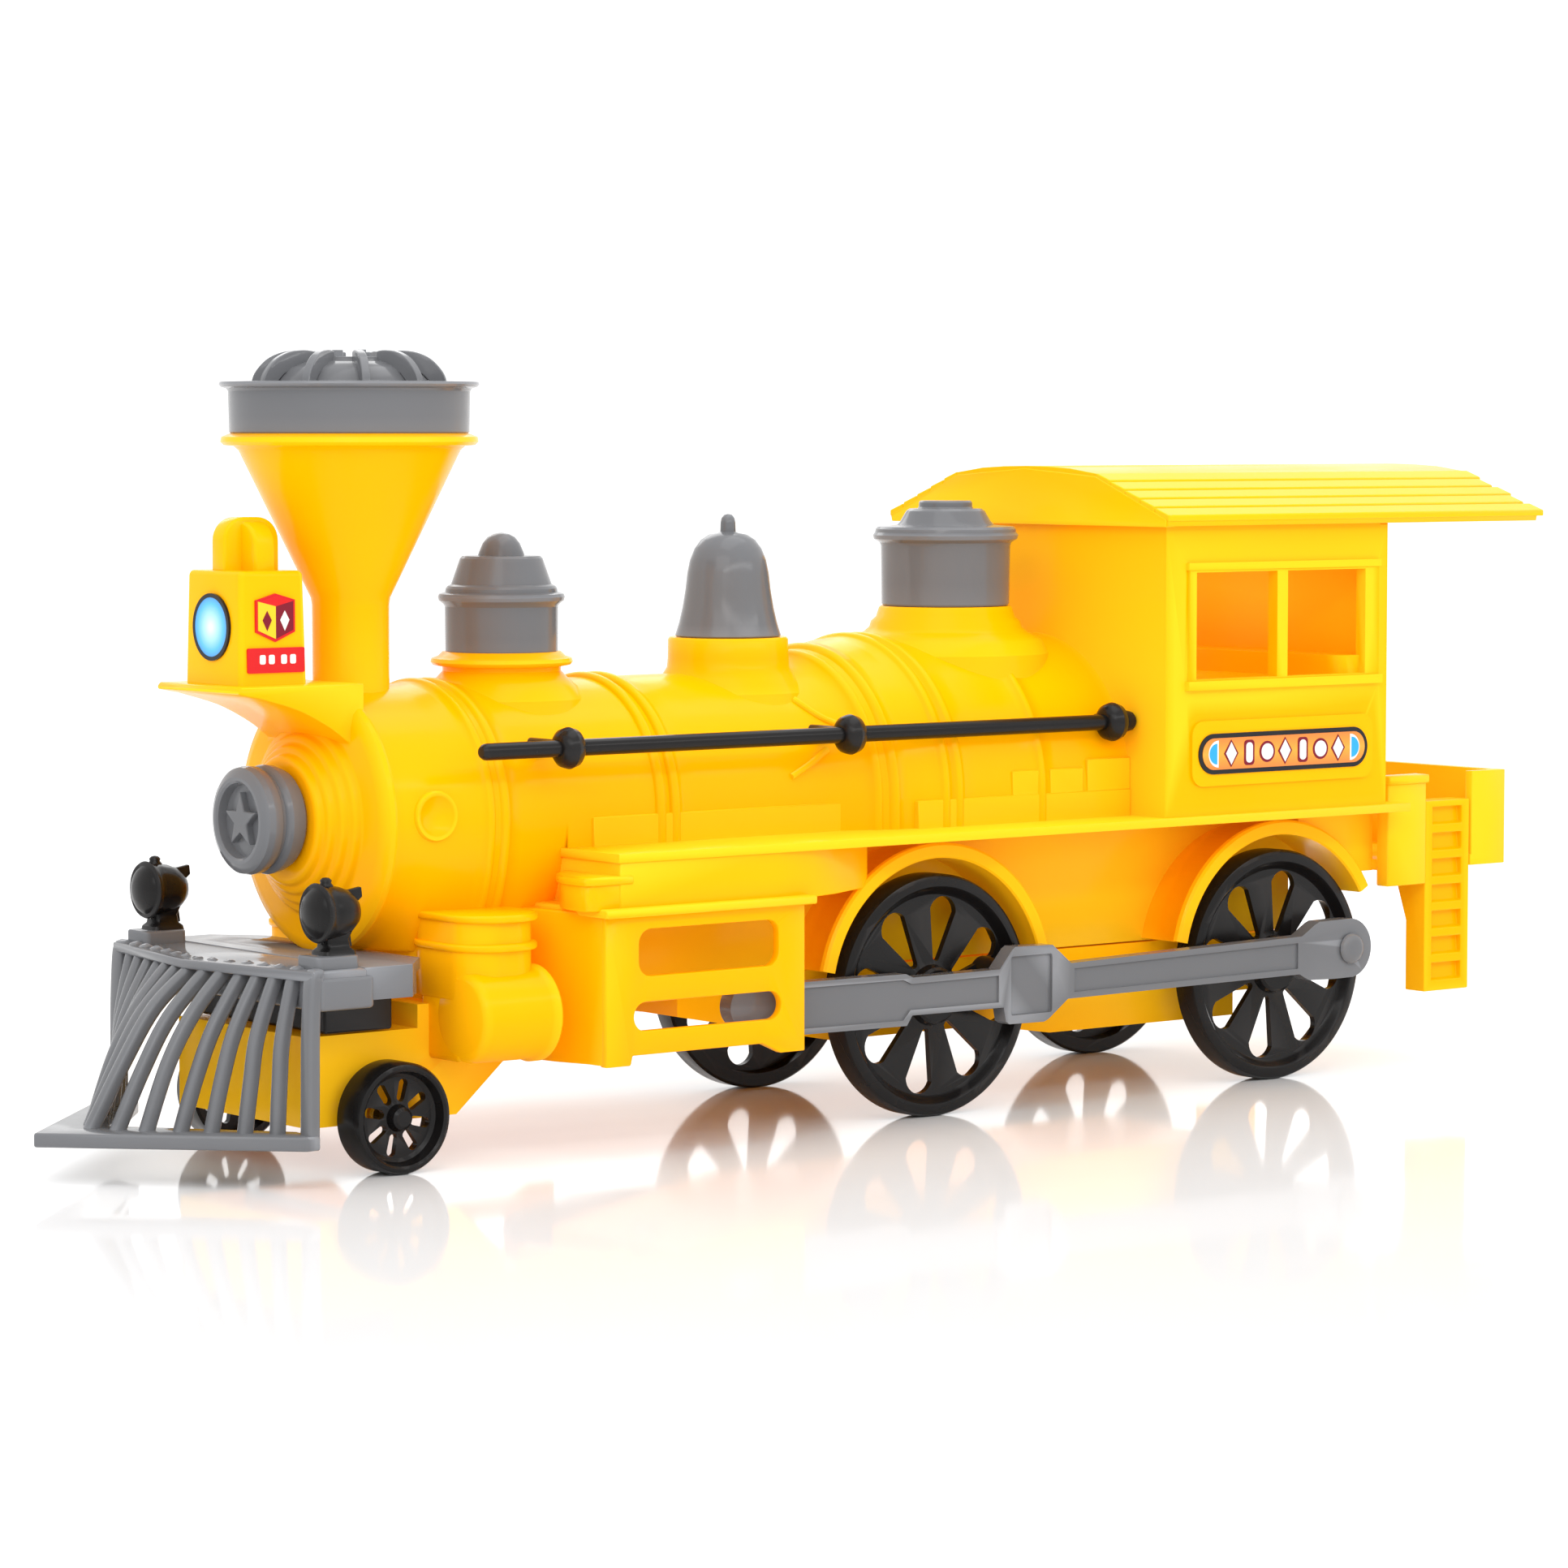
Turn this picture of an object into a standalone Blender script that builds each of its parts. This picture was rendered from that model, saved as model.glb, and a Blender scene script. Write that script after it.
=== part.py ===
"""Toy train locomotive, 4-4-0 pattern in moulded plastic, with a friction motor on the rear axle.

Frame: metres, +Z up, nose towards -Y, +X the driver's left side, floor at z = 0, origin under the middle.
Sizes below are in millimetres and turn into metres in one place, mm().
"""

import math

import bmesh
import bpy
from mathutils import Matrix, Vector

# ---------------------------------------------------------------- driving dimensions, in mm
GAP = 0.3  # between faces that touch in the real toy
WALL = 1.8  # moulded wall

DRIVER_R = 21.0
DRIVER_FACE = 27.2  # outer face of a driver
DRIVER_WIDTH = 5.0
FRONT_AXLE_Y = 12.0
REAR_AXLE_Y = 93.0
AXLE_R = 1.5
AXLE_BORE_R = 1.8

PILOT_R = 9.0
PILOT_Y = -98.4
PILOT_FACE = 27.6
PILOT_WIDTH = 6.4

CRANK_THROW = 13.0
CRANK_ANGLE = 12.0  # degrees above the axle line at rest
PIN_R = 2.0
ROD_INNER = 30.0  # inner face of a side rod
ROD_OUTER = 33.0
CROSSHEAD_BACK = 139.3  # from the rear crank pin forward to the crosshead boss

BOILER_Z = 55.2
BOILER_R = 21.4
FIREBOX_R = 26.6
SMOKEBOX_Y = -96.0
BOARD_TOP = 50.0
BOARD_X = 37.0
BOARD_T = 1.5
BOARD_FRONT = -62.0

SKIRT_X = 18.0  # outer face of the chassis walls
SKIRT_BOTTOM = 26.3
CHASSIS_FRONT = -90.0
CHASSIS_BACK = 117.0

CAB_X = 36.0
CAB_FRONT = 57.0
CAB_BACK = 111.5
CAB_TOP = 101.5
ROOF_X = 38.3
ROOF_FRONT = 55.5
ROOF_BACK = 150.0

GUARD_X = 36.5
GUARD_FRONT = -64.0
GUARD_BACK = -25.0

CHIMNEY_Y = -90.0
SAND_Y = -60.0
BELL_Y = -12.3
STEAM_Y = 36.7

PLATFORM_X = 31.0
PLATFORM_BACK = 148.0
DECK_TOP = 34.5

MODULE = 0.5  # gear tooth size
AXLE_GEAR_TEETH = 16
COMPOUND_SMALL_TEETH = 8
COMPOUND_LARGE_TEETH = 16
FLYWHEEL_TEETH = 8
COMPOUND_AT = (0.0, 88.0, 24.75)
FLYWHEEL_AT = (0.0, 84.25, 29.75)

YELLOW = ((1.0, 0.62, 0.0), 0.28, 0.0)
GREY = ((0.26, 0.27, 0.29), 0.38, 0.0)
BLACK = ((0.02, 0.02, 0.02), 0.35, 0.0)
STEEL = ((0.6, 0.6, 0.62), 0.25, 1.0)
WHITE = ((0.8, 0.8, 0.78), 0.4, 0.0)
BLUE = ((0.1, 0.45, 0.85), 0.3, 0.0)
RED = ((0.75, 0.05, 0.05), 0.35, 0.0)
ORANGE = ((0.9, 0.25, 0.02), 0.35, 0.0)


def mm(*values):
    return tuple(value * 0.001 for value in values)


# ---------------------------------------------------------------- scene and materials
def clear_scene():
    for obj in list(bpy.data.objects):
        bpy.data.objects.remove(obj, do_unlink=True)


def paint(obj, look):
    colour, roughness, metallic = look
    material = bpy.data.materials.new(obj.name)
    material.use_nodes = True
    shader = material.node_tree.nodes["Principled BSDF"]
    shader.inputs["Base Color"].default_value = (*colour, 1.0)
    shader.inputs["Roughness"].default_value = roughness
    shader.inputs["Metallic"].default_value = metallic
    obj.data.materials.clear()
    obj.data.materials.append(material)
    return obj


def finish(obj, name, look, flat=False):
    """Gives a solid its node name, its material and its shading."""
    obj.name = name
    obj.data.name = name
    if not flat:
        obj.data.shade_smooth()
        obj.data.set_sharp_from_angle(angle=math.radians(35))
    return paint(obj, look)


# ---------------------------------------------------------------- solids
def new_object(bm, name="solid"):
    bm.normal_update()
    bmesh.ops.recalc_face_normals(bm, faces=bm.faces[:])
    mesh = bpy.data.meshes.new(name)
    bm.to_mesh(mesh)
    bm.free()
    obj = bpy.data.objects.new(name, mesh)
    bpy.context.scene.collection.objects.link(obj)
    return obj


def box(x0, x1, y0, y1, z0, z1):
    bm = bmesh.new()
    bmesh.ops.create_cube(bm, size=1.0)
    size = Vector(mm(x1 - x0, y1 - y0, z1 - z0))
    middle = Vector(mm((x0 + x1) / 2, (y0 + y1) / 2, (z0 + z1) / 2))
    bmesh.ops.transform(
        bm, matrix=Matrix.Translation(middle) @ Matrix.Diagonal((*size, 1.0)), verts=bm.verts[:]
    )
    return new_object(bm)


PLANES = {
    "x": lambda u, v, w: (w, u, v),  # outline in (y, z), swept along x
    "y": lambda u, v, w: (u, w, v),  # outline in (x, z), swept along y
    "z": lambda u, v, w: (u, v, w),  # outline in (x, y), swept along z
}


def prism(outline, axis, start, end):
    """Extrudes a closed outline along an axis from start to end."""
    place = PLANES[axis]
    bm = bmesh.new()
    face = bm.faces.new([bm.verts.new(mm(*place(u, v, start))) for u, v in outline])
    face.normal_update()
    bmesh.ops.triangulate(bm, faces=[face])
    swept = bmesh.ops.extrude_face_region(bm, geom=bm.faces[:])
    moved = [item for item in swept["geom"] if isinstance(item, bmesh.types.BMVert)]
    bmesh.ops.translate(bm, verts=moved, vec=mm(*place(0, 0, end - start)))
    return new_object(bm)


def turned(profile, axis, centre, sides=20, shift=0.0):
    """Turns a (radius, height) profile about an axis through centre.

    A profile that starts and ends on the axis gives a solid, and any other closes on itself as a ring.
    """
    place = PLANES[axis]
    solid = profile[0][0] == 0
    bm = bmesh.new()
    rings = []
    for radius, height in profile:
        if radius == 0:
            at = [c + d for c, d in zip(centre, place(0, 0, height))]
            rings.append([bm.verts.new(mm(*at))])
            continue
        ring = []
        for step in range(sides):
            angle = math.tau * (step + shift) / sides
            turned_to = place(radius * math.cos(angle), radius * math.sin(angle), height)
            at = [c + d for c, d in zip(centre, turned_to)]
            ring.append(bm.verts.new(mm(*at)))
        rings.append(ring)
    pairs = list(zip(profile, profile[1:], rings, rings[1:]))
    if not solid:
        pairs.append((profile[-1], profile[0], rings[-1], rings[0]))
    for (_, low), (_, high), one, two in pairs:
        wide = one if len(one) > 1 else two
        if len(one) > 1 and len(two) > 1:
            for i in range(sides):
                j = (i + 1) % sides
                bm.faces.new((one[i], one[j], two[j], two[i]))
        elif low == high:
            bm.faces.new(wide)
            bm.verts.remove(one[0] if wide is two else two[0])
        else:
            tip = one[0] if wide is two else two[0]
            for i in range(sides):
                bm.faces.new((wide[i], wide[(i + 1) % sides], tip))
    return new_object(bm)


def rod(axis, centre, radius, start, end, sides=16, shift=0.0):
    return turned([(0, start), (radius, start), (radius, end), (0, end)], axis, centre, sides, shift)


def hole(axis, centre, radius, start, end, sides=16):
    return rod(axis, centre, radius, start, end, sides, 0.5)


def swept_bar(points, width, height):
    """Rectangular bar along points: width along X, height across the path in the YZ plane."""
    bm = bmesh.new()
    rings = []
    for i, point in enumerate(points):
        before = Vector(points[max(i - 1, 0)])
        after = Vector(points[min(i + 1, len(points) - 1)])
        along = (after - before).normalized()
        side = Vector((1, 0, 0))
        across = along.cross(side).normalized() * height / 2
        side = side * width / 2
        corners = [Vector(point) + a * side + b * across for a, b in ((-1, -1), (1, -1), (1, 1), (-1, 1))]
        rings.append([bm.verts.new(mm(*corner)) for corner in corners])
    for one, two in zip(rings, rings[1:]):
        for i in range(4):
            j = (i + 1) % 4
            bm.faces.new((one[i], one[j], two[j], two[i]))
    bm.faces.new(rings[0][::-1])
    bm.faces.new(rings[-1])
    return new_object(bm)


def boolean(target, others, operation):
    """Applies one Boolean per helper solid, then deletes the helpers."""
    for other in others:
        modifier = target.modifiers.new(operation, "BOOLEAN")
        modifier.operation = operation
        modifier.object = other
        graph = bpy.context.evaluated_depsgraph_get()
        mesh = bpy.data.meshes.new_from_object(target.evaluated_get(graph))
        target.modifiers.clear()
        target.data = mesh
        bpy.data.objects.remove(other, do_unlink=True)
    return target


def cut(target, *others):
    return boolean(target, others, "DIFFERENCE")


def join(target, *others):
    return boolean(target, others, "UNION")


def arc(centre, radius, start, end, steps):
    """Points on a circle from start to end, in degrees."""
    angles = [math.radians(start + (end - start) * i / steps) for i in range(steps + 1)]
    return [(centre[0] + radius * math.cos(a), centre[1] + radius * math.sin(a)) for a in angles]


def rounded(u0, u1, v0, v1, radius, steps=4):
    """Outline of a rectangle with round corners."""
    corners = ((u1 - radius, v1 - radius, 0), (u0 + radius, v1 - radius, 90))
    corners += ((u0 + radius, v0 + radius, 180), (u1 - radius, v0 + radius, 270))
    outline = []
    for u, v, start in corners:
        outline += arc((u, v), radius, start, start + 90, steps)
    return outline


def mirrored(outline):
    """Closes the left half of an outline about u = 0."""
    return outline + [(-u, v) for u, v in reversed(outline)]


def crank_pin(axle_y):
    angle = math.radians(CRANK_ANGLE)
    return axle_y + CRANK_THROW * math.cos(angle), DRIVER_R + CRANK_THROW * math.sin(angle)


SIDES = (("left", 1), ("right", -1))


def span(side, near, far):
    """The lower and upper x of something from near to far on one side."""
    return sorted((side * near, side * far))


# ---------------------------------------------------------------- boiler and its fittings
def barrel_outline():
    """Outer (radius, y) line of the boiler from the smokebox back to the cab, with its raised bands."""
    line = [(BOILER_R, -95.6), (BOILER_R, -9.0), (FIREBOX_R, 12.0), (FIREBOX_R, CAB_FRONT - GAP)]
    bands = [y + offset for y in (-76.0, -41.5, 2.7, 15.8) for offset in (-1.5, 1.5)] + [36.2]
    points = [line[0]]
    for (r0, y0), (r1, y1) in zip(line, line[1:]):
        for y in bands:
            if y0 < y < y1:
                for offset, rise in ((-1.1, 0.0), (0.0, 1.1), (1.1, 0.0)):
                    base = r0 + (r1 - r0) * (y + offset - y0) / (y1 - y0)
                    points.append((base + rise, y + offset))
        points.append((r1, y1))
    return points


def boiler_barrel():
    inner = [
        (FIREBOX_R - WALL, CAB_FRONT - GAP), (FIREBOX_R - WALL, 12.5), (BOILER_R - WALL, -8.5),
        (BOILER_R - WALL, -95.6)
    ]
    centre = (0, 0, BOILER_Z)
    shell = turned(barrel_outline() + inner, "y", centre, 28)
    seats = (
        (SAND_Y, [(0, 70.3), (12.1, 70.3), (12.1, 76.4), (11.4, 78.4), (12, 79.2), (10, 80.9), (0, 80.9)]),
        (BELL_Y, [(0, 69.3), (13.5, 69.3), (12, 76.2), (10.6, 78.5), (10.4, 82.4), (0, 82.4)]),
        (STEAM_Y, [(0, 73.7), (16.1, 73.7), (15.5, 81), (14, 83.5), (12.4, 84.5), (11.6, 86.7), (0, 86.7)]),
    )
    for y, profile in seats:
        seat = turned(profile, "z", (0, y, 0), 20, 0.37)
        within = FIREBOX_R - 1.1 if y > 0 else BOILER_R - 1.1
        cut(seat, hole("y", centre, within, y - 30, y + 30, 32))
        join(shell, seat)
    cut(shell, box(-40, 40, BOARD_FRONT - 0.5, 70, 20, BOARD_TOP + GAP))
    return finish(shell, "boiler_barrel", YELLOW)


def smokebox_front():
    """Stepped rings, with the bracket plate and its cove that carry the headlamp."""
    steps = ((22.0, -95.9), (22.0, -97.4), (15.2, -97.4), (15.2, -98.9), (13.6, -98.9), (13.6, -100.4))
    steps += ((12.0, -100.4), (12.0, -101.9), (10.4, -101.9), (10.4, -103.4), (0, -103.4))
    front = turned([(0, -95.9), *steps], "y", (0, 0, BOILER_Z), 32)
    cove = arc((-119.0, 58.0), 18.2, 90, 10, 5)
    plate = [(-119.0, 77.6), *cove, (-98.0, 60.0), (-96.8, 60.0), (-96.8, 77.6)]
    join(front, prism(plate, "x", -12.3, 12.3))
    return finish(front, "smokebox_front", YELLOW)


def door_plug():
    z = BOILER_Z + 0.4
    profile = [
        (0, -103.7), (6.5, -103.7), (8.6, -105), (9.8, -107.4), (9.6, -109.2), (8.9, -111.8),
        (8.2, -112.4)
    ]
    profile += [(7.0, -112.4), (6.6, -111.2), (0, -111.2)]
    plug = turned(profile, "y", (0, 0, z), 20)
    star = []
    for i in range(10):
        radius = 5.2 if i % 2 == 0 else 2.3
        angle = math.radians(90 + 36 * i)
        star.append((radius * math.cos(angle), z + radius * math.sin(angle)))
    join(plug, prism(star, "y", -112.2, -110.9))
    return finish(plug, "door_plug", GREY)


def chimney_funnel():
    profile = [
        (4.5, 70), (5.4, 70), (5.4, 78.4), (6.4, 79.4), (6.4, 90.5), (18.3, 115.4), (20.8, 115.6),
        (20.8, 116.8), (18.2, 117.4)
    ]
    profile += [(16.6, 117.4), (16.4, 115.6), (4.5, 91)]
    funnel = turned(profile, "z", (0, CHIMNEY_Y, 0), 28)
    cut(funnel, hole("y", (0, 0, BOILER_Z), BOILER_R + GAP, SMOKEBOX_Y - 2, -60, 40))
    return finish(funnel, "chimney_funnel", YELLOW)


def chimney_cap_ring():
    profile = [(17.2, 117.7), (19.6, 117.7), (19.6, 125.0), (21.1, 125.3), (21.1, 126.0), (17.2, 126.0)]
    return finish(turned(profile, "z", (0, CHIMNEY_Y, 0), 28), "chimney_cap_ring", GREY)


def chimney_spider():
    """Arched ribs from a floor ring up to a raised hub."""
    hub = [(0, 118.2), (16.9, 118.2), (16.9, 122.0), (10.5, 122.0), (9.0, 129.0), (7.5, 130.0), (0, 130.0)]
    spider = turned(hub, "z", (0, CHIMNEY_Y, 0), 24)
    for i in range(10):
        angle = math.tau * (i + 0.5) / 10
        outer = arc((7.0, 121.0), 9.4, 2, 80, 3)
        inner = arc((7.0, 121.0), 7.8, 80, 2, 3)
        rib = prism(outer + inner, "y", -0.8, 0.8)
        rib.data.transform(Matrix.Translation(mm(0, CHIMNEY_Y, 0)) @ Matrix.Rotation(angle, 4, "Z"))
        join(spider, rib)
    return finish(spider, "chimney_spider", GREY)


def dome_caps():
    sand = [(0, 81.2), (9.4, 81.2), (9.4, 89.6), (10.5, 90.4), (10.5, 91.2), (9.7, 92.6), (8.8, 93.0)]
    sand += [(6.3, 97.0), (4.5, 97.8), (3.0, 99.4), (1.2, 101.0), (0, 101.2)]
    finish(turned(sand, "z", (0, SAND_Y, 0)), "sand_dome_cap", GREY)
    bell = [
        (0, 82.7), (9.2, 82.7), (8.6, 84.5), (7.6, 88), (6.9, 92), (6.5, 95.5), (5.4, 98.4),
        (3.4, 100.2)
    ]
    bell += [(1.3, 100.8), (1.2, 101.6), (1.5, 102.6), (1.1, 103.6), (0, 103.9)]
    finish(turned(bell, "z", (0, BELL_Y, 0)), "bell", GREY)
    steam = [
        (0, 87.0), (11.4, 87.0), (11.6, 97.6), (12.9, 98.8), (12.7, 100.2), (12.0, 101.0), (8.6, 101.2)
    ]
    steam += [(7.6, 104.0), (4.9, 104.2), (4.7, 105.6), (0, 105.6)]
    finish(turned(steam, "z", (0, STEAM_Y, 0)), "steam_dome_cap", GREY)


def headlamp():
    lamp = prism(rounded(-8.1, 8.1, -116.1, -104.1, 0.8, 2), "z", 77.9, 95.8)
    finish(lamp, "headlamp_box", YELLOW)
    arch = [(-6.0, 96.1), (6.0, 96.1), (6.0, 100.2), *arc((2.4, 100.2), 3.6, 0, 90, 4)[1:]]
    arch += [*arc((-2.4, 100.2), 3.6, 90, 180, 4)]
    vent = prism(arch, "y", -111.8, -108.4)
    across = [(u * 0.9 - 110.1, v + (0.7 if v > 97 else 0)) for u, v in arch]
    join(vent, prism(across, "x", -1.7, 1.7))
    finish(vent, "headlamp_vent", YELLOW)
    finish(rod("y", (0, 0, 86.8), 5.2, -116.7, -116.4, 24), "headlamp_lens", BLUE)
    for name, side in SIDES:
        x0, x1 = span(side, 8.4, 8.7)
        finish(box(x0, x1, -115.3, -105.0, 79.6, 92.6), f"headlamp_label_{name}", RED)


def handrails():
    """Round rod through three collars, each on a stem that reaches the boiler skin."""
    x, z = 27.5, 66.8
    for name, side in SIDES:
        rail = rod("y", (side * x, 0, z), 1.35, -83.5, 56.7, 10)
        for y in (-66.2, -7.5, 53.8):
            ball = [(0, -2.5), (1.9, -2.5), (3.4, 0), (1.9, 2.5), (0, 2.5)]
            join(rail, turned(ball, "y", (side * x, y, z), 10, 0.5))
            x0, x1 = span(side, 17.0, x - 1.9)
            stem = box(x0, x1, y - 1.1, y + 1.1, z - 1.0, z + 1.0)
            ends = ((BOILER_R, -90.0), (BOILER_R, -9.0), (FIREBOX_R, 12.0), (FIREBOX_R, 58.0))
            skin = [(r + GAP, at) for r, at in ends]
            cut(stem, turned([(0, -90.0), *skin, (0, 58.0)], "y", (0, 0, BOILER_Z), 32))
            join(rail, stem)
        finish(rail, f"handrail_{name}", BLACK)


# ---------------------------------------------------------------- cab, roof, rear platform
def cab_body():
    cab = box(-CAB_X, CAB_X, CAB_FRONT, CAB_BACK, BOARD_TOP + GAP, CAB_TOP)
    cut(cab, box(-CAB_X + WALL, CAB_X - WALL, CAB_FRONT + WALL, CAB_BACK - WALL, 72.0, CAB_TOP + 1))
    cut(cab, box(-CAB_X + WALL, CAB_X - WALL, CAB_FRONT + WALL, CAB_BACK - WALL, BOARD_TOP - 1, 70.2))
    for side in (1, -1):
        x0, x1 = span(side, CAB_X - 0.4, CAB_X + 0.9)
        join(cab, box(x0, x1, 61.8, 109.3, 72.2, 94.6))
        join(cab, prism(rounded(62.1, 107.4, 54.2, 67.6, 2.5), "x", x0, x1))
        x0, x1 = span(side, CAB_X - WALL - 1, CAB_X + 2)
        for y0, y1 in ((63.0, 83.0), (86.4, 106.4)):
            cut(cab, box(x0, x1, y0, y1, 74.2, 93.0))
    return finish(cab, "cab_body", YELLOW)


def roof_outline(lower):
    """Half of the arched roof section from the eave to the crest, with stepped planks on the slope."""
    eave, brow, crest = (ROOF_X, 103.2), (19.0, 110.6), (0.0, 111.8)
    planks = 5
    points = []
    for i in range(planks):
        for j, drop in ((0, 0.0), (1, 0.4)):
            t = (i + j) / planks
            points.append((eave[0] + (brow[0] - eave[0]) * t, eave[1] + (brow[1] - eave[1]) * t - drop))
    points += [brow, (12.0, 111.4), (6.0, 111.7), crest]
    if lower:
        return [(ROOF_X - 0.6, 101.8), (19.0, 108.8), (12.0, 109.6), (6.0, 109.9), (0.0, 110.0)]
    return points


def cab_roof():
    upper = roof_outline(False)
    lower = roof_outline(True)
    right = [(-u, v) for u, v in reversed(upper[:-1])]
    under = [(-u, v) for u, v in lower[:-1]] + lower[::-1]
    roof = prism(upper + right + under, "y", ROOF_FRONT, ROOF_BACK)
    gable = [(35.0, 102.0), (18.0, 109.3), (0.0, 110.4), (-18.0, 109.3), (-35.0, 102.0)]
    for y in (ROOF_FRONT + 0.4, CAB_BACK - 1.5):
        join(roof, prism(gable, "y", y, y + 1.5))
    return finish(roof, "cab_roof", YELLOW)


def nameplates():
    for name, side in SIDES:
        x0, x1 = span(side, CAB_X + 1.2, CAB_X + 1.5)
        finish(prism(rounded(64.2, 106.3, 56.2, 65.6, 4.69, 6), "x", x0, x1), f"nameplate_{name}", ORANGE)


def rear_platform():
    front = CHASSIS_BACK + GAP
    deck = box(-PLATFORM_X, PLATFORM_X, front, PLATFORM_BACK, 37.0, 39.0)
    join(deck, box(-PLATFORM_X, PLATFORM_X, PLATFORM_BACK - 1.9, PLATFORM_BACK, 37.2, 54.8))
    for side in (1, -1):
        x0, x1 = span(side, PLATFORM_X - 1.8, PLATFORM_X)
        join(deck, box(x0, x1, front, 126.4, 37.2, 54.3))
        join(deck, box(x0, x1, 139.2, PLATFORM_BACK - 0.2, 37.2, 54.8))
        x0, x1 = span(side, PLATFORM_X - 1.0, PLATFORM_X + 1.0)
        join(deck, box(x0, x1, front, 127.0, 53.3, 54.6))
        x0, x1 = span(side, 25.7, PLATFORM_X + 1)
        cut(deck, box(x0, x1, 126.7, 138.9, 36, 60))
    return finish(deck, "rear_platform", YELLOW)


def ladders():
    """Stepped foot ladder hung in the gap of the platform's side."""
    for name, side in SIDES:
        outline = [(26.0, 36.9), (26.0, 49.5), (30.4, 49.5)]
        rungs = 7
        pitch = (49.5 - 14.0) / rungs
        for i in range(rungs):
            top = 49.5 - i * pitch
            outline += [
                (31.0, top - 0.6), (31.0, top - pitch + 1.4), (30.0, top - pitch + 1.0),
                (30.0, top - pitch)
            ]
        outline += [(26.0, 14.0), (26.0, 27.0), (22.6, 36.6)]
        outline = [(side * u, v) for u, v in outline]
        finish(prism(outline, "y", 127.0, 138.6), f"ladder_{name}", YELLOW)


# ---------------------------------------------------------------- chassis
def fender(axle_y, start, end):
    """Arched mudguard band over a driver, on both sides of the chassis."""
    bands = []
    centre = (axle_y - 0.6, DRIVER_R + 0.8)
    outline = arc(centre, 24.9, start, end, 16) + arc(centre, 23.2, end, start, 16)
    for side in (1, -1):
        x0, x1 = span(side, SKIRT_X - 0.8, 28.6)
        bands.append(prism(outline, "x", x0, x1))
    return bands


def chassis_shell():
    """Running boards, skirts with wheel arches, and the saddle under the smokebox."""
    shell = box(-SKIRT_X, SKIRT_X, CHASSIS_FRONT, CHASSIS_BACK, SKIRT_BOTTOM, BOARD_TOP)
    inside = SKIRT_X - WALL
    cut(
        shell,
        box(-inside, inside, CHASSIS_FRONT + 2, CHASSIS_BACK - 2, SKIRT_BOTTOM - 1, BOARD_TOP - BOARD_T)
    )
    cut(shell, box(-inside, inside, BOARD_FRONT + 4, CAB_FRONT - 4, 40, BOARD_TOP + 1))
    join(shell, box(-BOARD_X, BOARD_X, CAB_FRONT - 6, CHASSIS_BACK, BOARD_TOP - BOARD_T, BOARD_TOP))
    for side in (1, -1):
        x0, x1 = span(side, inside, BOARD_X)
        join(shell, box(x0, x1, BOARD_FRONT, CAB_FRONT - 5, BOARD_TOP - BOARD_T, BOARD_TOP))
        steps = [(BOARD_FRONT, 49.6), (BOARD_FRONT, 46.8), (-66.6, 46.8), (-66.6, 41.4), (-65.2, 41.4)]
        steps += [(-65.2, 45.5), (BOARD_FRONT + 1.5, 45.5), (BOARD_FRONT + 1.5, 49.6)]
        x0, x1 = span(side, SKIRT_X - 0.5, 35.6)
        join(shell, prism(steps, "x", x0, x1))
    for axle_y, start, end in ((FRONT_AXLE_Y, 14, 166), (REAR_AXLE_Y, 32, 166)):
        join(shell, *fender(axle_y, start, end))
    cut(shell, box(-60, 60, 104.5, CHASSIS_BACK + 1, 20, 38.0))
    cut(shell, hole("y", (0, 0, BOILER_Z), BOILER_R + 1.2, CHASSIS_FRONT - 1, BOARD_FRONT + 2, 40))
    for y in (-30.0, 50.0):
        post = rod("z", (0, y, 0), 3.0, SKIRT_BOTTOM, 42.0, 12)
        join(post, box(-inside - 0.5, inside + 0.5, y - 0.8, y + 0.8, 28.5, 42.0))
        cut(post, hole("z", (0, y, 0), 1.2, SKIRT_BOTTOM - 1, 36.0, 12))
        join(shell, post)
    return finish(shell, "chassis_shell", YELLOW)


def base_plate():
    """Tray under the chassis that carries the driver axles, with the fairing between the drivers."""
    top = SKIRT_BOTTOM - GAP
    outline = [
        (-37, top), (-37, 20), (-4, 13.6), (30, 13.6), (46, 11.2), (90.6, 11.2), (90.6, 15.6),
        (98, 15.6)
    ]
    outline += [(104.2, 20.5), (104.2, top)]
    tray = prism(outline, "x", -SKIRT_X, SKIRT_X)
    inner = [
        (-35.2, top + 1), (-35.2, 21.4), (-4, 15.4), (30, 15.4), (46, 13.0), (88.8, 13.0), (88.8, 15.0)
    ]
    inner += [(90.6, 15.0), (92.0, 10.0), (102.4, 10.0), (102.4, top + 1)]
    inside = SKIRT_X - WALL
    cut(tray, prism(inner, "x", -inside, inside))
    for y in (FRONT_AXLE_Y, REAR_AXLE_Y):
        cut(tray, hole("x", (0, y, DRIVER_R), AXLE_BORE_R, -SKIRT_X - 1, SKIRT_X + 1, 24))
    for y, floor in ((-30.0, 18.6), (50.0, 11.2)):
        join(tray, rod("z", (0, y, 0), 3.4, floor + 0.6, top, 16))
        cut(tray, hole("z", (0, y, 0), 1.5, 5, top + 1, 16))
        cut(tray, hole("z", (0, y, 0), 2.7, 5, floor + 1.9, 16))
    return finish(tray, "base_plate", YELLOW)


def base_screws():
    for number, (y, floor) in enumerate(((-30.0, 18.6), (50.0, 11.2)), 1):
        profile = [
            (0, floor + 0.4), (2.3, floor + 0.4), (2.3, floor + 1.6), (0.9, floor + 1.6), (0.9, 34.0),
            (0, 34.6)
        ]
        screw = turned(profile, "z", (0, y, 0), 16)
        cut(screw, box(-1.6, 1.6, y - 0.3, y + 0.3, floor, floor + 0.9))
        finish(screw, f"base_screw_{number}", STEEL)


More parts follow.
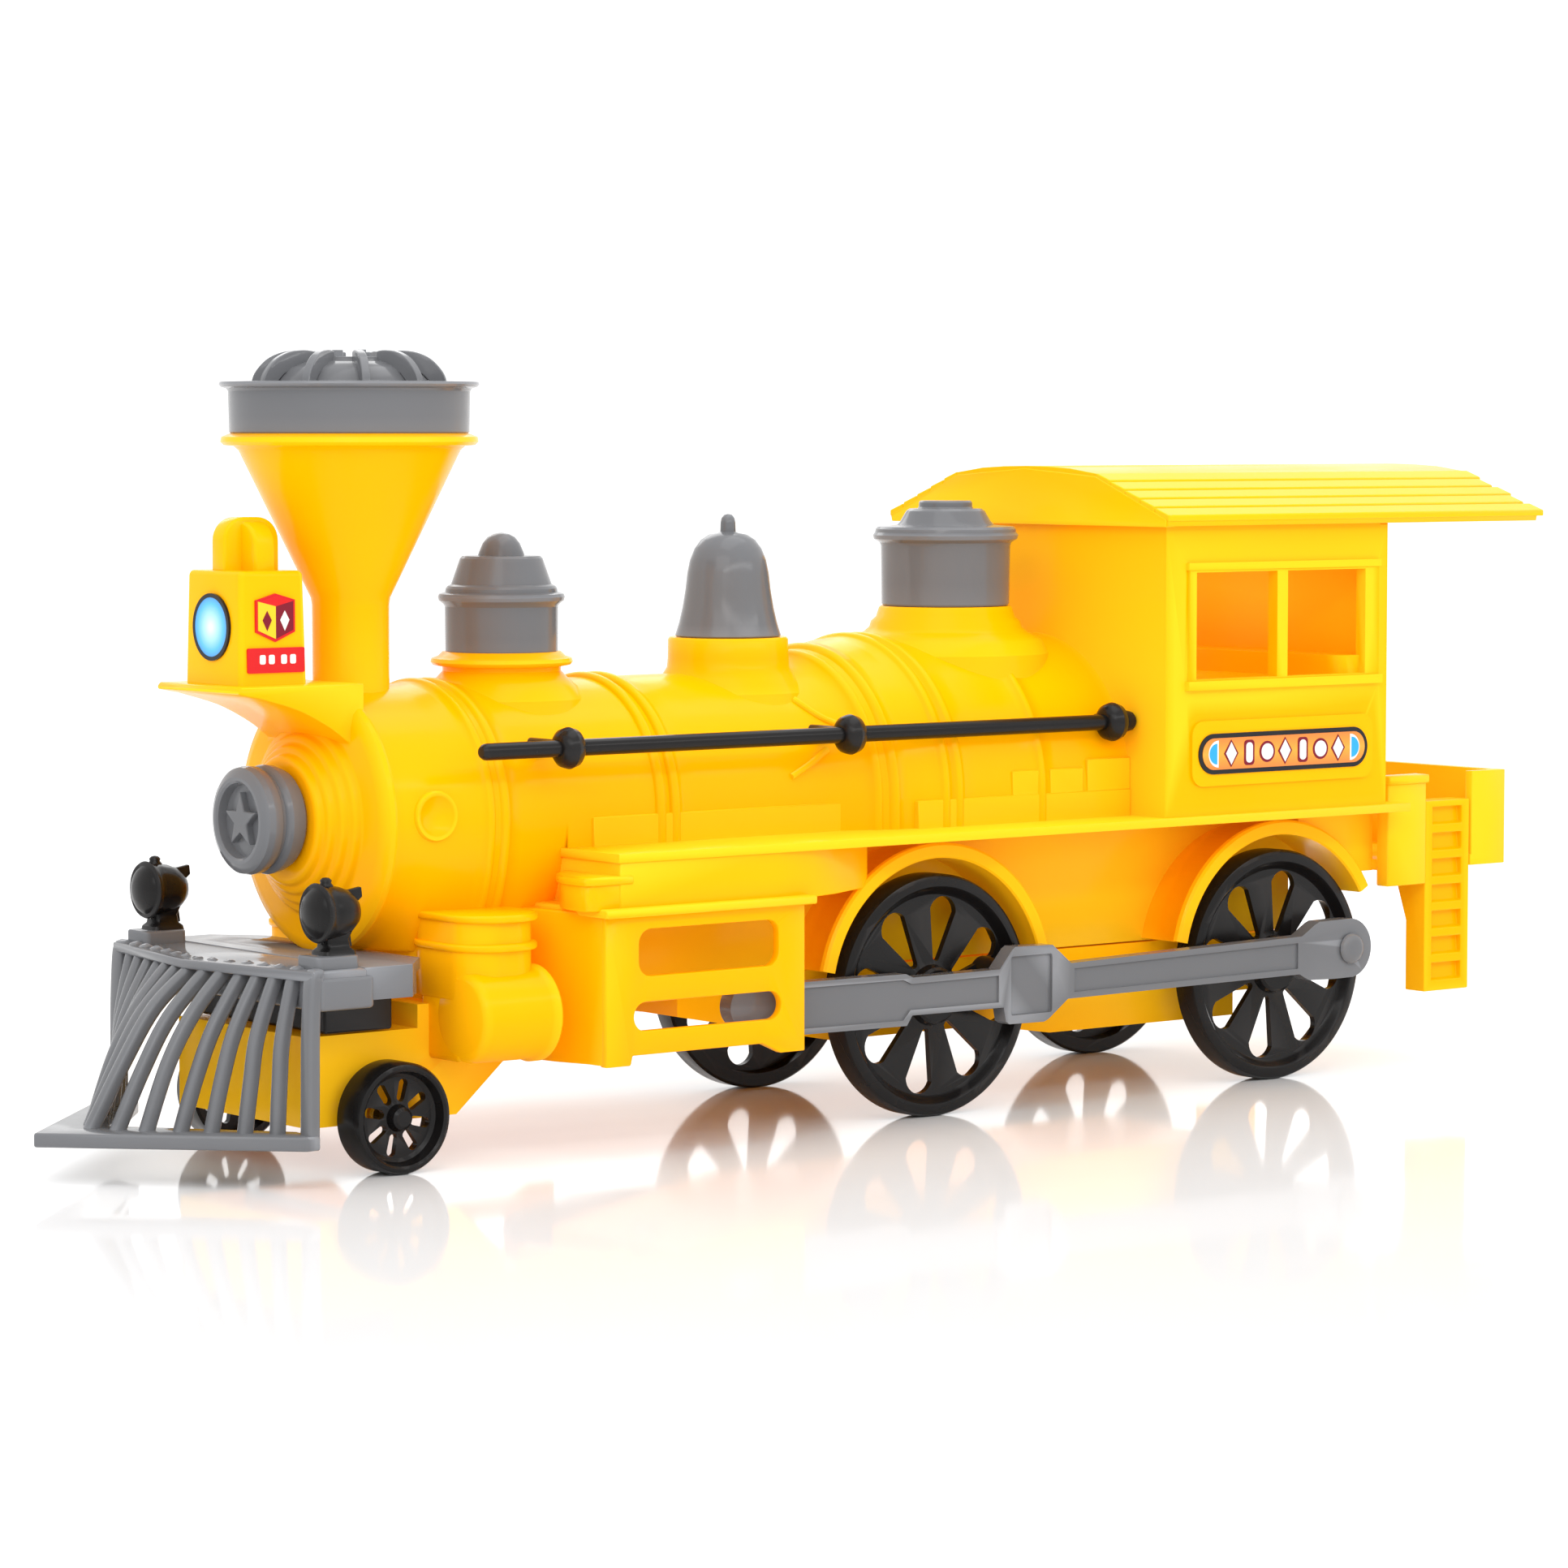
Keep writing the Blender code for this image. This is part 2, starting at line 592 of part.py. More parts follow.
def cylinders():
    """Steam cylinder with its valve chest saddle, one on each side behind the pilot wheels."""
    for name, side in SIDES:
        axis = (side * 27.4, 0, 25.2)
        body = rod("y", axis, 7.2, -88.0, -73.5, 24)
        join(body, rod("y", axis, 7.8, -75.2, -73.0, 24))
        x0, x1 = span(side, 19.2 + GAP, 27.4)
        join(body, box(x0, x1, -87.6, -74.0, 18.6, 36.0))
        for u, z0, z1 in ((30.2, 27.0, 39.8), (31.6, 39.8, 41.0), (31.6, 35.2, 36.4)):
            x0, x1 = span(side, SKIRT_X + GAP, u)
            join(body, prism(rounded(x0, x1, -88.4, -73.6, 1.6, 3), "z", z0, z1))
        cut(body, hole("y", (0, 0, BOILER_Z), BOILER_R + 1.3, -96, -60, 40))
        finish(body, f"cylinder_{name}", YELLOW)


def crosshead_guards():
    """Open-backed box: outer plate with a window and a slot, front wall and top plate."""
    for name, side in SIDES:
        x0, x1 = span(side, GUARD_X - 1.6, GUARD_X)
        front, back = GUARD_FRONT, GUARD_BACK
        plate = [(front, 39.8), (front, 15.4), (front + 5, 15.4), (front + 5.4, 17.0), (back - 9, 17.0)]
        plate += [(back - 5, 15.2), (back, 15.2), (back, 39.8)]
        guard = prism(plate, "x", x0, x1)
        x2, x3 = span(side, SKIRT_X + GAP, GUARD_X - 0.4)
        join(guard, box(x2, x3, front, front + 1.1, 15.4, 39.6))
        x2, x3 = span(side, SKIRT_X + GAP, GUARD_X + 2.0)
        join(guard, box(x2, x3, front - 2.6, back + 1.2, 39.4, 41.1))
        x2, x3 = span(side, GUARD_X - 3, GUARD_X + 1)
        cut(guard, prism(rounded(-58.7, -29.9, 29.8, 37.5, 2.0), "x", x2, x3))
        cut(guard, prism(rounded(-59.7, -29.4, 20.9, 25.6, 2.34, 5), "x", x2, x3))
        finish(guard, f"crosshead_guard_{name}", YELLOW)


def pilot_frame():
    outline = [
        (-111.5, 22.2), (-111.5, 7.6), (-82.8, 7.6), (-73.2, 15.8), (-73.2, 26.0), (-90.3, 26.0),
        (-90.3, 22.2)
    ]
    frame = prism(outline, "x", -19.2, 19.2)
    inner = [
        (-109.7, 6), (-84.5, 6), (-75.0, 14), (-75.0, 24.2), (-88.5, 24.2), (-88.5, 20.4),
        (-109.7, 20.4)
    ]
    cut(frame, prism(inner, "x", -17.4, 17.4))
    cut(frame, hole("x", (0, PILOT_Y, PILOT_R), AXLE_BORE_R, -22, 22, 24))
    return finish(frame, "pilot_frame", YELLOW)


def buffer_beam():
    deck = [(28.0, -117.2), (30.2, -116.4), (30.2, -105.6), (28.6, -105.2), (20.5, -90.5)]
    beam = prism(mirrored(deck), "z", 28.8, DECK_TOP)
    cut(beam, hole("y", (0, 0, BOILER_Z), 22.4, -98.0, -80, 40))
    cut(beam, box(-26, 26, -114.6, -90.0, 27, 32.6))
    for side in (1, -1):
        x0, x1 = span(side, 22.2, 29.2)
        join(beam, box(x0, x1, -113.5, -106.0, 33.5, 34.9))
    return finish(beam, "buffer_beam", GREY)


def coupler_block():
    return finish(box(-20, 20, -108.5, -92.5, 22.5, 28.5), "coupler_block", BLACK)


def cowcatcher():
    """Slats ruled from a straight top bar to a V-shaped foot plate, bulging forward on their way down."""
    top_y, top_z, foot_z = -119.0, 33.6, 7.6
    tip_y, corner = -150.0, 31.0
    foot = [(0, tip_y), (corner, -120.2), (corner, -117.6), (24.0, -117.6), (0, -138.0)]
    plate = prism(foot + [(-u, v) for u, v in foot[::-1] if u > 0], "z", 5.8, 8.2)
    join(plate, box(-29.0, 29.0, -120.0, -117.6, 31.6, 35.0))
    pitch_top, pitch_foot = 4.1, 3.95
    for i in range(-7, 8):
        x_top, x_foot = pitch_top * i, pitch_foot * i
        foot_y = -140.8 + 0.95 * pitch_foot * abs(i)
        if abs(i) == 7:
            x_top, x_foot, foot_y = math.copysign(27.8, i), math.copysign(28.2, i), -119.6
        path = []
        for k in range(5):
            t = k / 4
            bulge = 0.35 * t + 0.65 * math.sqrt(t)
            x = x_top + (x_foot - x_top) * t
            path.append((x, top_y + (foot_y - top_y) * bulge, top_z + (foot_z - top_z) * t))
        join(plate, swept_bar(path, 2.2, 2.4))
    return finish(plate, "cowcatcher", GREY)


def marker_lamps():
    """Drum lamp with a flat lens, top knob and a fin at its back, on a stem."""
    for name, side in SIDES:
        x, y, z = side * 25.7, -109.5, 42.2
        drum = [
            (0, -6.0), (4.9, -6.0), (5.3, -5.2), (5.3, -4.2), (4.4, -3.4), (5.0, -1.0), (4.6, 1.6),
            (2.6, 3.6), (0, 4.2)
        ]
        lamp = turned(drum, "y", (x, y, z), 20)
        join(lamp, rod("z", (x, y, 0), 1.9, 35.2, 41.0, 12, 0.5))
        join(lamp, rod("z", (x, y - 2.5, 0), 1.1, 45.0, 48.6, 8, 0.5))
        finish(lamp, f"marker_lamp_{name}", BLACK)


# ---------------------------------------------------------------- wheels, rods and motor
def spoked_wheel(side, y, radius, face, width, openings, phase, hub_r):
    """Rim, dished web with teardrop openings, and a hub bored for the axle."""
    outer, inner = face, face - width
    rim = radius * 0.9
    profile = [
        (0, inner), (hub_r, inner), (hub_r, outer - 2.8), (rim, outer - 2.8), (rim, inner),
        (radius, inner)
    ]
    profile += [(radius, outer), (rim, outer), (rim - 0.4, outer - 1.0)]
    profile += [(hub_r, outer - 1.0), (hub_r, outer + 0.4), (0, outer + 0.4)]
    profile = [(r, side * x) for r, x in profile]
    wheel = turned(profile, "x", (0, y, radius), 28)
    near, far = radius * 0.3, radius * 0.8
    for i in range(openings):
        angle = math.radians(phase + 360 * (i + 0.5) / openings)
        drop = [(near, 0.0)] + arc((far - radius * 0.13, 0), radius * 0.13, -75, 75, 3)
        turned_drop = [
            (
                y + u * math.cos(angle) - v * math.sin(angle),
                radius + u * math.sin(angle) + v * math.cos(angle)
            )
            for u, v in drop
        ]
        x0, x1 = span(side, inner - 1, outer + 1)
        cut(wheel, prism(turned_drop, "x", x0, x1))
    cut(wheel, hole("x", (0, y, radius), AXLE_R + GAP, *span(side, inner - 1, outer - 1.2), 20))
    return wheel


def wheel_pair(prefix, y, radius, face, width, openings, phase, hub_r):
    for name, side in SIDES:
        wheel = spoked_wheel(side, y, radius, face, width, openings, phase, hub_r)
        if prefix == "front_driver":
            pin_y, pin_z = crank_pin(y)
            x0, x1 = span(side, face - 1.5, ROD_INNER + 1.2)
            join(wheel, rod("x", (0, pin_y, pin_z), PIN_R, x0, x1, 16))
            x0, x1 = span(side, face - 2.5, ROD_INNER - 0.6)
            join(wheel, rod("x", (0, pin_y, pin_z), 3.2, x0, x1, 16, 0.5))
        if prefix == "rear_driver":
            pin_y, pin_z = crank_pin(y)
            x0, x1 = span(side, face - 2.5, ROD_INNER - 0.6)
            join(wheel, rod("x", (0, pin_y, pin_z), 3.2, x0, x1, 16, 0.5))
        finish(wheel, f"{prefix}_{name}", BLACK)
    reach = face - 1.6
    finish(rod("x", (0, y, radius), AXLE_R, -reach, reach, 20), f"{prefix}_axle", STEEL)


def side_rods():
    """Coupling rod pinned to both drivers, with its crosshead boss behind the guard's slot."""
    rear_y, z = crank_pin(REAR_AXLE_Y)
    front_y, _ = crank_pin(FRONT_AXLE_Y)
    boss_y = rear_y - CROSSHEAD_BACK
    low, high = z - 3.9, z + 3.0
    outline = [(boss_y, low + 1.1), (-24.0, low - 2.6), (0.4, low - 2.6), (2.0, low), (front_y - 2.4, low)]
    outline += [
        (front_y, low - 3.6), (front_y + 9, low - 3.6), (front_y + 13, low - 0.6), (rear_y - 13.4, low)
    ]
    outline += [(rear_y - 12.4, low - 1.2), (rear_y - 4, z - 5.5)]
    outline += arc((rear_y, z), 5.5, -90, 90, 8)[1:-1]
    outline += [
        (rear_y - 8, z + 5.3), (rear_y - 12.2, high + 0.9), (rear_y - 13.4, high), (front_y + 13, high)
    ]
    outline += [
        (front_y + 10, high + 3.4), (front_y, high + 3.4), (front_y - 2.4, high), (2.0, high),
        (0.4, high + 0.4)
    ]
    outline += [(-24.0, high + 0.4), (boss_y, high - 0.1)]
    for name, side in SIDES:
        x0, x1 = span(side, ROD_INNER, ROD_OUTER)
        bar = prism(outline, "x", x0, x1)
        join(bar, rod("x", (0, boss_y, z), 3.3, x0, x1, 20))
        cut(bar, hole("x", (0, rear_y, z), PIN_R + GAP, x0 - 1, x1 + 1, 24))
        p0, p1 = span(side, ROD_INNER - 1, ROD_INNER + 1.7)
        cut(bar, hole("x", (0, front_y, z), PIN_R + GAP, p0, p1, 24))
        finish(bar, f"side_rod_{name}", GREY)
        head = [
            (0, ROD_OUTER + 1.6), (2.0, ROD_OUTER + 1.4), (2.8, ROD_OUTER + 0.9), (2.8, ROD_OUTER + GAP)
        ]
        head += [(PIN_R, ROD_OUTER + GAP), (PIN_R, ROD_INNER - 0.3), (0, ROD_INNER - 0.3)]
        pin = turned([(r, side * x) for r, x in head], "x", (0, rear_y, z), 24)
        finish(pin, f"crank_pin_{name}", GREY)


def gear_outline(teeth, centre, turn):
    """Spur gear outline in (y, z); turn in degrees sets one tooth's direction."""
    pitch = MODULE * teeth / 2
    tip, root = pitch + 0.85 * MODULE, pitch - 1.15 * MODULE
    points = []
    for i in range(teeth):
        middle = math.radians(turn) + math.tau * i / teeth
        step = math.tau / teeth
        for radius, offset in ((root, -0.30), (tip, -0.12), (tip, 0.12), (root, 0.30)):
            angle = middle + offset * step
            points.append((centre[1] + radius * math.cos(angle), centre[2] + radius * math.sin(angle)))
    return points


def mesh_turn(driver_at, driver_teeth, driver_turn, driven_at, driven_teeth):
    """Turn of the driven gear that puts a gap where the driver has a tooth, on their centre line."""
    line = math.degrees(math.atan2(driven_at[2] - driver_at[2], driven_at[1] - driver_at[1]))
    phase = (line - driver_turn) / (360 / driver_teeth) % 1.0
    return line + 180 + (phase + 0.5) * 360 / driven_teeth


def motor():
    """Axle gear, compound gear and flywheel with its pinion, in a two-part housing."""
    axle_at = (0.0, REAR_AXLE_Y, DRIVER_R)
    gear = prism(gear_outline(AXLE_GEAR_TEETH, axle_at, 0), "x", -1.0, 2.0)
    join(gear, rod("x", axle_at, 3.2, 1.0, 5.0, 16))
    cut(gear, hole("x", axle_at, AXLE_R + GAP, -6, 6, 16))
    finish(gear, "axle_gear", WHITE)

    small_turn = mesh_turn(axle_at, AXLE_GEAR_TEETH, 0, COMPOUND_AT, COMPOUND_SMALL_TEETH)
    compound = prism(gear_outline(COMPOUND_LARGE_TEETH, COMPOUND_AT, 0), "x", -4.5, -2.5)
    join(compound, prism(gear_outline(COMPOUND_SMALL_TEETH, COMPOUND_AT, small_turn), "x", -3.0, 2.4))
    join(compound, rod("x", COMPOUND_AT, 0.9, -9.9, 9.9, 12))
    finish(compound, "compound_gear", WHITE)

    turn = mesh_turn(COMPOUND_AT, COMPOUND_LARGE_TEETH, 0, FLYWHEEL_AT, FLYWHEEL_TEETH)
    flywheel = rod("x", FLYWHEEL_AT, 5.0, 3.2, 8.6, 24)
    join(flywheel, prism(gear_outline(FLYWHEEL_TEETH, FLYWHEEL_AT, turn), "x", -4.7, 4.0))
    join(flywheel, rod("x", FLYWHEEL_AT, 0.9, -9.9, 9.9, 12))
    finish(flywheel, "flywheel", STEEL)

    for name, side in SIDES:
        x0, x1 = span(side, 0.15, 11.0)
        shell = box(x0, x1, 77.2, 99.4, 15.3, 36.8)
        x2, x3 = span(side, 0.0, 9.2)
        cut(shell, box(x2 - 0.1, x3 + 0.1, 78.6, 98.0, 16.2, 35.4))
        for at, radius in ((axle_at, AXLE_BORE_R), (COMPOUND_AT, 1.2), (FLYWHEEL_AT, 1.2)):
            cut(shell, hole("x", at, radius, -12, 12, 12))
        finish(shell, f"motor_housing_{name}", GREY)


def main():
    clear_scene()
    boiler_barrel()
    smokebox_front()
    door_plug()
    chimney_funnel()
    chimney_cap_ring()
    chimney_spider()
    dome_caps()
    headlamp()
    handrails()
    cab_body()
    cab_roof()
    nameplates()
    rear_platform()
    ladders()
    chassis_shell()
    base_plate()
    base_screws()
    cylinders()
    crosshead_guards()
    pilot_frame()
    buffer_beam()
    coupler_block()
    cowcatcher()
    marker_lamps()
    phase = CRANK_ANGLE
    wheel_pair("pilot_wheel", PILOT_Y, PILOT_R, PILOT_FACE, PILOT_WIDTH, 8, 10, 2.6)
    wheel_pair("front_driver", FRONT_AXLE_Y, DRIVER_R, DRIVER_FACE, DRIVER_WIDTH, 8, phase, 4.2)
    wheel_pair("rear_driver", REAR_AXLE_Y, DRIVER_R, DRIVER_FACE, DRIVER_WIDTH, 8, phase, 4.2)
    side_rods()
    motor()


main()
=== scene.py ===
"""Looks of the toy locomotive: detailed mouldings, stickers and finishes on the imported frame.

Shapes are written in millimetres in the part's own frame (+Z up, nose towards -Y, +X the near side)
and turn into metres in one place, to_scene().
"""

from math import copysign, cos, radians, sin, sqrt, tau

import bmesh
import bpy
from mathutils import Matrix, Vector


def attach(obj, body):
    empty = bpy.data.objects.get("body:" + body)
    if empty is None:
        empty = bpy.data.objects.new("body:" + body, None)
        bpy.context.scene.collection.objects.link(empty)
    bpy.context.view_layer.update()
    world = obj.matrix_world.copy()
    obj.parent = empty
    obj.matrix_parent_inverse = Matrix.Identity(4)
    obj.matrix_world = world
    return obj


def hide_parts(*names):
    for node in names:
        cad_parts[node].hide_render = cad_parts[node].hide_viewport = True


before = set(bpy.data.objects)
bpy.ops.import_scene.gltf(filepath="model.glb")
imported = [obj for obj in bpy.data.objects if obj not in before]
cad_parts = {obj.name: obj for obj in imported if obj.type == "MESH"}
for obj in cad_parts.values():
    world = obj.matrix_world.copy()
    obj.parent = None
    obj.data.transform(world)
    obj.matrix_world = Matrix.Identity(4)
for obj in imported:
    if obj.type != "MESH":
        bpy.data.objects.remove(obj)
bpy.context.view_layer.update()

# ---- dimensions, in mm
DRIVER_R, DRIVER_FACE, DRIVER_WIDTH = 21.0, 27.2, 5.0
FRONT_AXLE_Y, REAR_AXLE_Y = 12.0, 93.0
PILOT_R, PILOT_Y, PILOT_FACE, PILOT_WIDTH = 9.0, -98.4, 27.6, 6.4
CRANK_THROW, CRANK_ANGLE = 13.0, 12.0
CROSSHEAD_BACK = 139.3
ROD_INNER, ROD_OUTER = 30.0, 33.0
PIN_Y = REAR_AXLE_Y + CRANK_THROW * cos(radians(CRANK_ANGLE))
PIN_Z = DRIVER_R + CRANK_THROW * sin(radians(CRANK_ANGLE))

AXIS_Z = 55.2
BOILER_R, FIREBOX_R = 21.4, 26.6
CHIMNEY_Y, SAND_Y, BELL_Y, STEAM_Y = -90.0, -60.0, -12.3, 36.7
CAB_X, CAB_FRONT, CAB_BACK, CAB_TOP = 36.0, 57.0, 111.5, 101.5
ROOF_X, ROOF_FRONT, ROOF_BACK = 38.3, 55.5, 150.0
SKIRT_X, WALL = 18.0, 1.8
RAIL_X, RAIL_Z = 27.5, 66.8
LAMP_Y, LAMP_Z = -110.1, 86.8
SIDES = (("left", 1), ("right", -1))
LOCO = "locomotive"


# ---- mesh helpers
def to_scene(bm, name="solid"):
    bm.normal_update()
    bmesh.ops.recalc_face_normals(bm, faces=bm.faces[:])
    bmesh.ops.scale(bm, vec=(0.001, 0.001, 0.001), verts=bm.verts[:])
    mesh = bpy.data.meshes.new(name)
    bm.to_mesh(mesh)
    bm.free()
    obj = bpy.data.objects.new(name, mesh)
    bpy.context.scene.collection.objects.link(obj)
    return obj


PLANES = {
    "x": lambda u, v, w: (w, u, v),
    "y": lambda u, v, w: (u, w, v),
    "z": lambda u, v, w: (u, v, w),
}


def span(side, near, far):
    return sorted((side * near, side * far))


def box(x0, x1, y0, y1, z0, z1):
    bm = bmesh.new()
    bmesh.ops.create_cube(bm, size=1.0)
    stretch = Matrix.Diagonal((x1 - x0, y1 - y0, z1 - z0, 1.0))
    move = Matrix.Translation(((x0 + x1) / 2, (y0 + y1) / 2, (z0 + z1) / 2))
    bmesh.ops.transform(bm, matrix=move @ stretch, verts=bm.verts[:])
    return to_scene(bm)


def prism(outline, axis, start, end):
    place = PLANES[axis]
    bm = bmesh.new()
    bottom = [bm.verts.new(place(u, v, start)) for u, v in outline]
    top = [bm.verts.new(place(u, v, end)) for u, v in outline]
    bm.faces.new(bottom)
    bm.faces.new(top[::-1])
    for i in range(len(outline)):
        j = (i + 1) % len(outline)
        bm.faces.new((bottom[i], bottom[j], top[j], top[i]))
    return to_scene(bm)


def turned(profile, axis, centre, sides=64, shift=0.0):
    """Turns a (radius, height) profile into a solid, or into a ring where it stays off the axis."""
    place = PLANES[axis]
    bm = bmesh.new()
    rings = []
    for radius, height in profile:
        count = 1 if radius == 0 else sides
        ring = []
        for step in range(count):
            angle = tau * (step + shift) / sides
            at = place(radius * cos(angle), radius * sin(angle), height)
            ring.append(bm.verts.new([c + d for c, d in zip(centre, at)]))
        rings.append(ring)
    pairs = list(zip(profile, profile[1:], rings, rings[1:]))
    if profile[0][0] != 0:
        pairs.append((profile[-1], profile[0], rings[-1], rings[0]))
    for (_, low), (_, high), one, two in pairs:
        if len(one) > 1 and len(two) > 1:
            for i in range(sides):
                j = (i + 1) % sides
                bm.faces.new((one[i], one[j], two[j], two[i]))
            continue
        wide, tip = (one, two[0]) if len(one) > 1 else (two, one[0])
        if low == high:
            bm.faces.new(wide)
            bm.verts.remove(tip)
            continue
        for i in range(sides):
            bm.faces.new((wide[i], wide[(i + 1) % sides], tip))
    return to_scene(bm)


def rod(axis, centre, radius, start, end, sides=32, shift=0.0):
    return turned([(0, start), (radius, start), (radius, end), (0, end)], axis, centre, sides, shift)


def hole(axis, centre, radius, start, end, sides=32):
    return rod(axis, centre, radius, start, end, sides, 0.5)


def loft(sections):
    """Joins closed sections, each a list of points of the same length, and caps both ends."""
    bm = bmesh.new()
    rings = [[bm.verts.new(point) for point in section] for section in sections]
    for one, two in zip(rings, rings[1:]):
        for i in range(len(one)):
            j = (i + 1) % len(one)
            bm.faces.new((one[i], one[j], two[j], two[i]))
    bm.faces.new(rings[0])
    bm.faces.new(rings[-1][::-1])
    return to_scene(bm)


def tube(points, radius, sides=10):
    """Round tube through points, with flat-capped ends."""
    sections = []
    last = len(points) - 1
    for i, point in enumerate(points):
        along = (Vector(points[min(i + 1, last)]) - Vector(points[max(i - 1, 0)])).normalized()
        across = along.orthogonal() if i == 0 else across - across.dot(along) * along
        across.normalize()
        other = along.cross(across)
        ring = []
        for k in range(sides):
            angle = tau * k / sides
            ring.append(Vector(point) + radius * (cos(angle) * across + sin(angle) * other))
        sections.append(ring)
    return loft(sections)


def arc(centre, radius, start, end, steps):
    angles = [radians(start + (end - start) * i / steps) for i in range(steps + 1)]
    return [(centre[0] + radius * cos(a), centre[1] + radius * sin(a)) for a in angles]


def rounded(u0, u1, v0, v1, radius, steps=6):
    corners = ((u1 - radius, v1 - radius, 0), (u0 + radius, v1 - radius, 90))
    corners += ((u0 + radius, v0 + radius, 180), (u1 - radius, v0 + radius, 270))
    outline = []
    for u, v, start in corners:
        outline += arc((u, v), radius, start, start + 90, steps)
    return outline


def mirrored(outline):
    return outline + [(-u, v) for u, v in reversed(outline) if u]


def smooth_path(points, steps=5):
    """Catmull-Rom curve through points in a plane."""
    padded = [points[0], *points, points[-1]]
    out = []
    for a, b, c, d in zip(padded, padded[1:], padded[2:], padded[3:]):
        for i in range(steps):
            t = i / steps
            at = []
            for p, q, r, s in zip(a, b, c, d):
                bend = (2 * p - 5 * q + 4 * r - s) * t * t + (3 * q - p - 3 * r + s) * t**3
                at.append(0.5 * (2 * q + (r - p) * t + bend))
            out.append(tuple(at))
    return [*out, points[-1]]


def bake(obj):
    """Applies the modifiers of obj."""
    mesh = bpy.data.meshes.new_from_object(obj.evaluated_get(bpy.context.evaluated_depsgraph_get()))
    obj.modifiers.clear()
    obj.data = mesh
    return obj


def boolean(target, others, operation):
    for other in others:
        modifier = target.modifiers.new(operation, "BOOLEAN")
        modifier.operation = operation
        modifier.object = other
        bake(target)
        bpy.data.objects.remove(other, do_unlink=True)
    return target


def cut(target, *others):
    return boolean(target, others, "DIFFERENCE")


def join(target, *others):
    return boolean(target, others, "UNION")


def gather(first, *others):
    """Puts several closed shells of one moulding in one mesh."""
    bm = bmesh.new()
    for obj in (first, *others):
        bm.from_mesh(obj.data)
    bm.to_mesh(first.data)
    bm.free()
    for obj in others:
        bpy.data.objects.remove(obj, do_unlink=True)
    return first


def soften(obj, width=0.35, segments=3, angle=28):
    """Cleans flat faces of a cut solid, then rounds its edges as a mould does."""
    bm = bmesh.new()
    bm.from_mesh(obj.data)
    bmesh.ops.remove_doubles(bm, verts=bm.verts[:], dist=2e-6)
    bmesh.ops.dissolve_limit(bm, angle_limit=radians(1.0), verts=bm.verts[:], edges=bm.edges[:])
    bm.to_mesh(obj.data)
    bm.free()
    bevel = obj.modifiers.new("mould radius", "BEVEL")
    bevel.width = width * 0.001
    bevel.segments = segments
    bevel.limit_method = "ANGLE"
    bevel.angle_limit = radians(angle)
    bevel.harden_normals = True
    return obj


def moulding(*solid_and_radius):
    """A softened solid with its radius applied, ready to be gathered with others."""
    return bake(soften(*solid_and_radius))


def piece(obj, name, material, nodes=(), sharp=40, body=LOCO):
    """Names a finished piece, shades it, rides it on its body and lets it stand for its CAD nodes."""
    obj.name = name
    obj.data.name = name
    obj.data.shade_smooth()
    if not obj.modifiers:
        obj.data.set_sharp_from_angle(angle=radians(sharp))
    obj.data.materials.clear()
    obj.data.materials.append(material)
    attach(obj, body)
    if nodes:
        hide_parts(*nodes)
    return obj


# ---- finishes
class Nodes:
    """Short way to add and link shader nodes."""

    def __init__(self, name):
        self.material = bpy.data.materials.new(name)
        self.material.use_nodes = True
        self.tree = self.material.node_tree
        self.shader = self.tree.nodes["Principled BSDF"]

    def add(self, kind, settings=None, **inputs):
        node = self.tree.nodes.new("ShaderNode" + kind)
        for key, value in (settings or {}).items():
            setattr(node, key, value)
        for key, value in inputs.items():
            socket = node.inputs[key.replace("_", " ")]
            if isinstance(value, bpy.types.NodeSocket):
                self.tree.links.new(value, socket)
            else:
                socket.default_value = value
        return node

    def noise(self, scale, detail=2.0, where=None):
        where = where or self.add("TexCoord").outputs["Object"]
        return self.add("TexNoise", Vector=where, Scale=scale, Detail=detail, Roughness=0.5).outputs["Fac"]

    def remap(self, value, low, high, to_low=0.0, to_high=1.0):
        ends = {"From_Min": low, "From_Max": high, "To_Min": to_low, "To_Max": to_high}
        return self.add("MapRange", Value=value, **ends).outputs["Result"]

    def spread(self, noise, low, high):
        return self.remap(noise, 0.3, 0.7, low, high)

    def ramp(self, value, *stops):
        node = self.add("ValToRGB", Fac=value)
        elements = node.color_ramp.elements
        for element, (position, colour) in zip(elements, (stops[0], stops[-1])):
            element.position, element.color = position, (*colour, 1.0)
        for position, colour in stops[1:-1]:
            elements.new(position).color = (*colour, 1.0)
        return node.outputs["Color"]

    def blend(self, noise, one, two):
        return self.ramp(noise, (0.35, one), (0.65, two))

    def drive(self, socket, value):
        self.tree.links.new(value, self.shader.inputs[socket])


# painted light: strength of a faint orange emission that stands in for the orange glow of the plastic where
# it lies in shade
PAINTED_GLOW_STRENGTH = 0.08


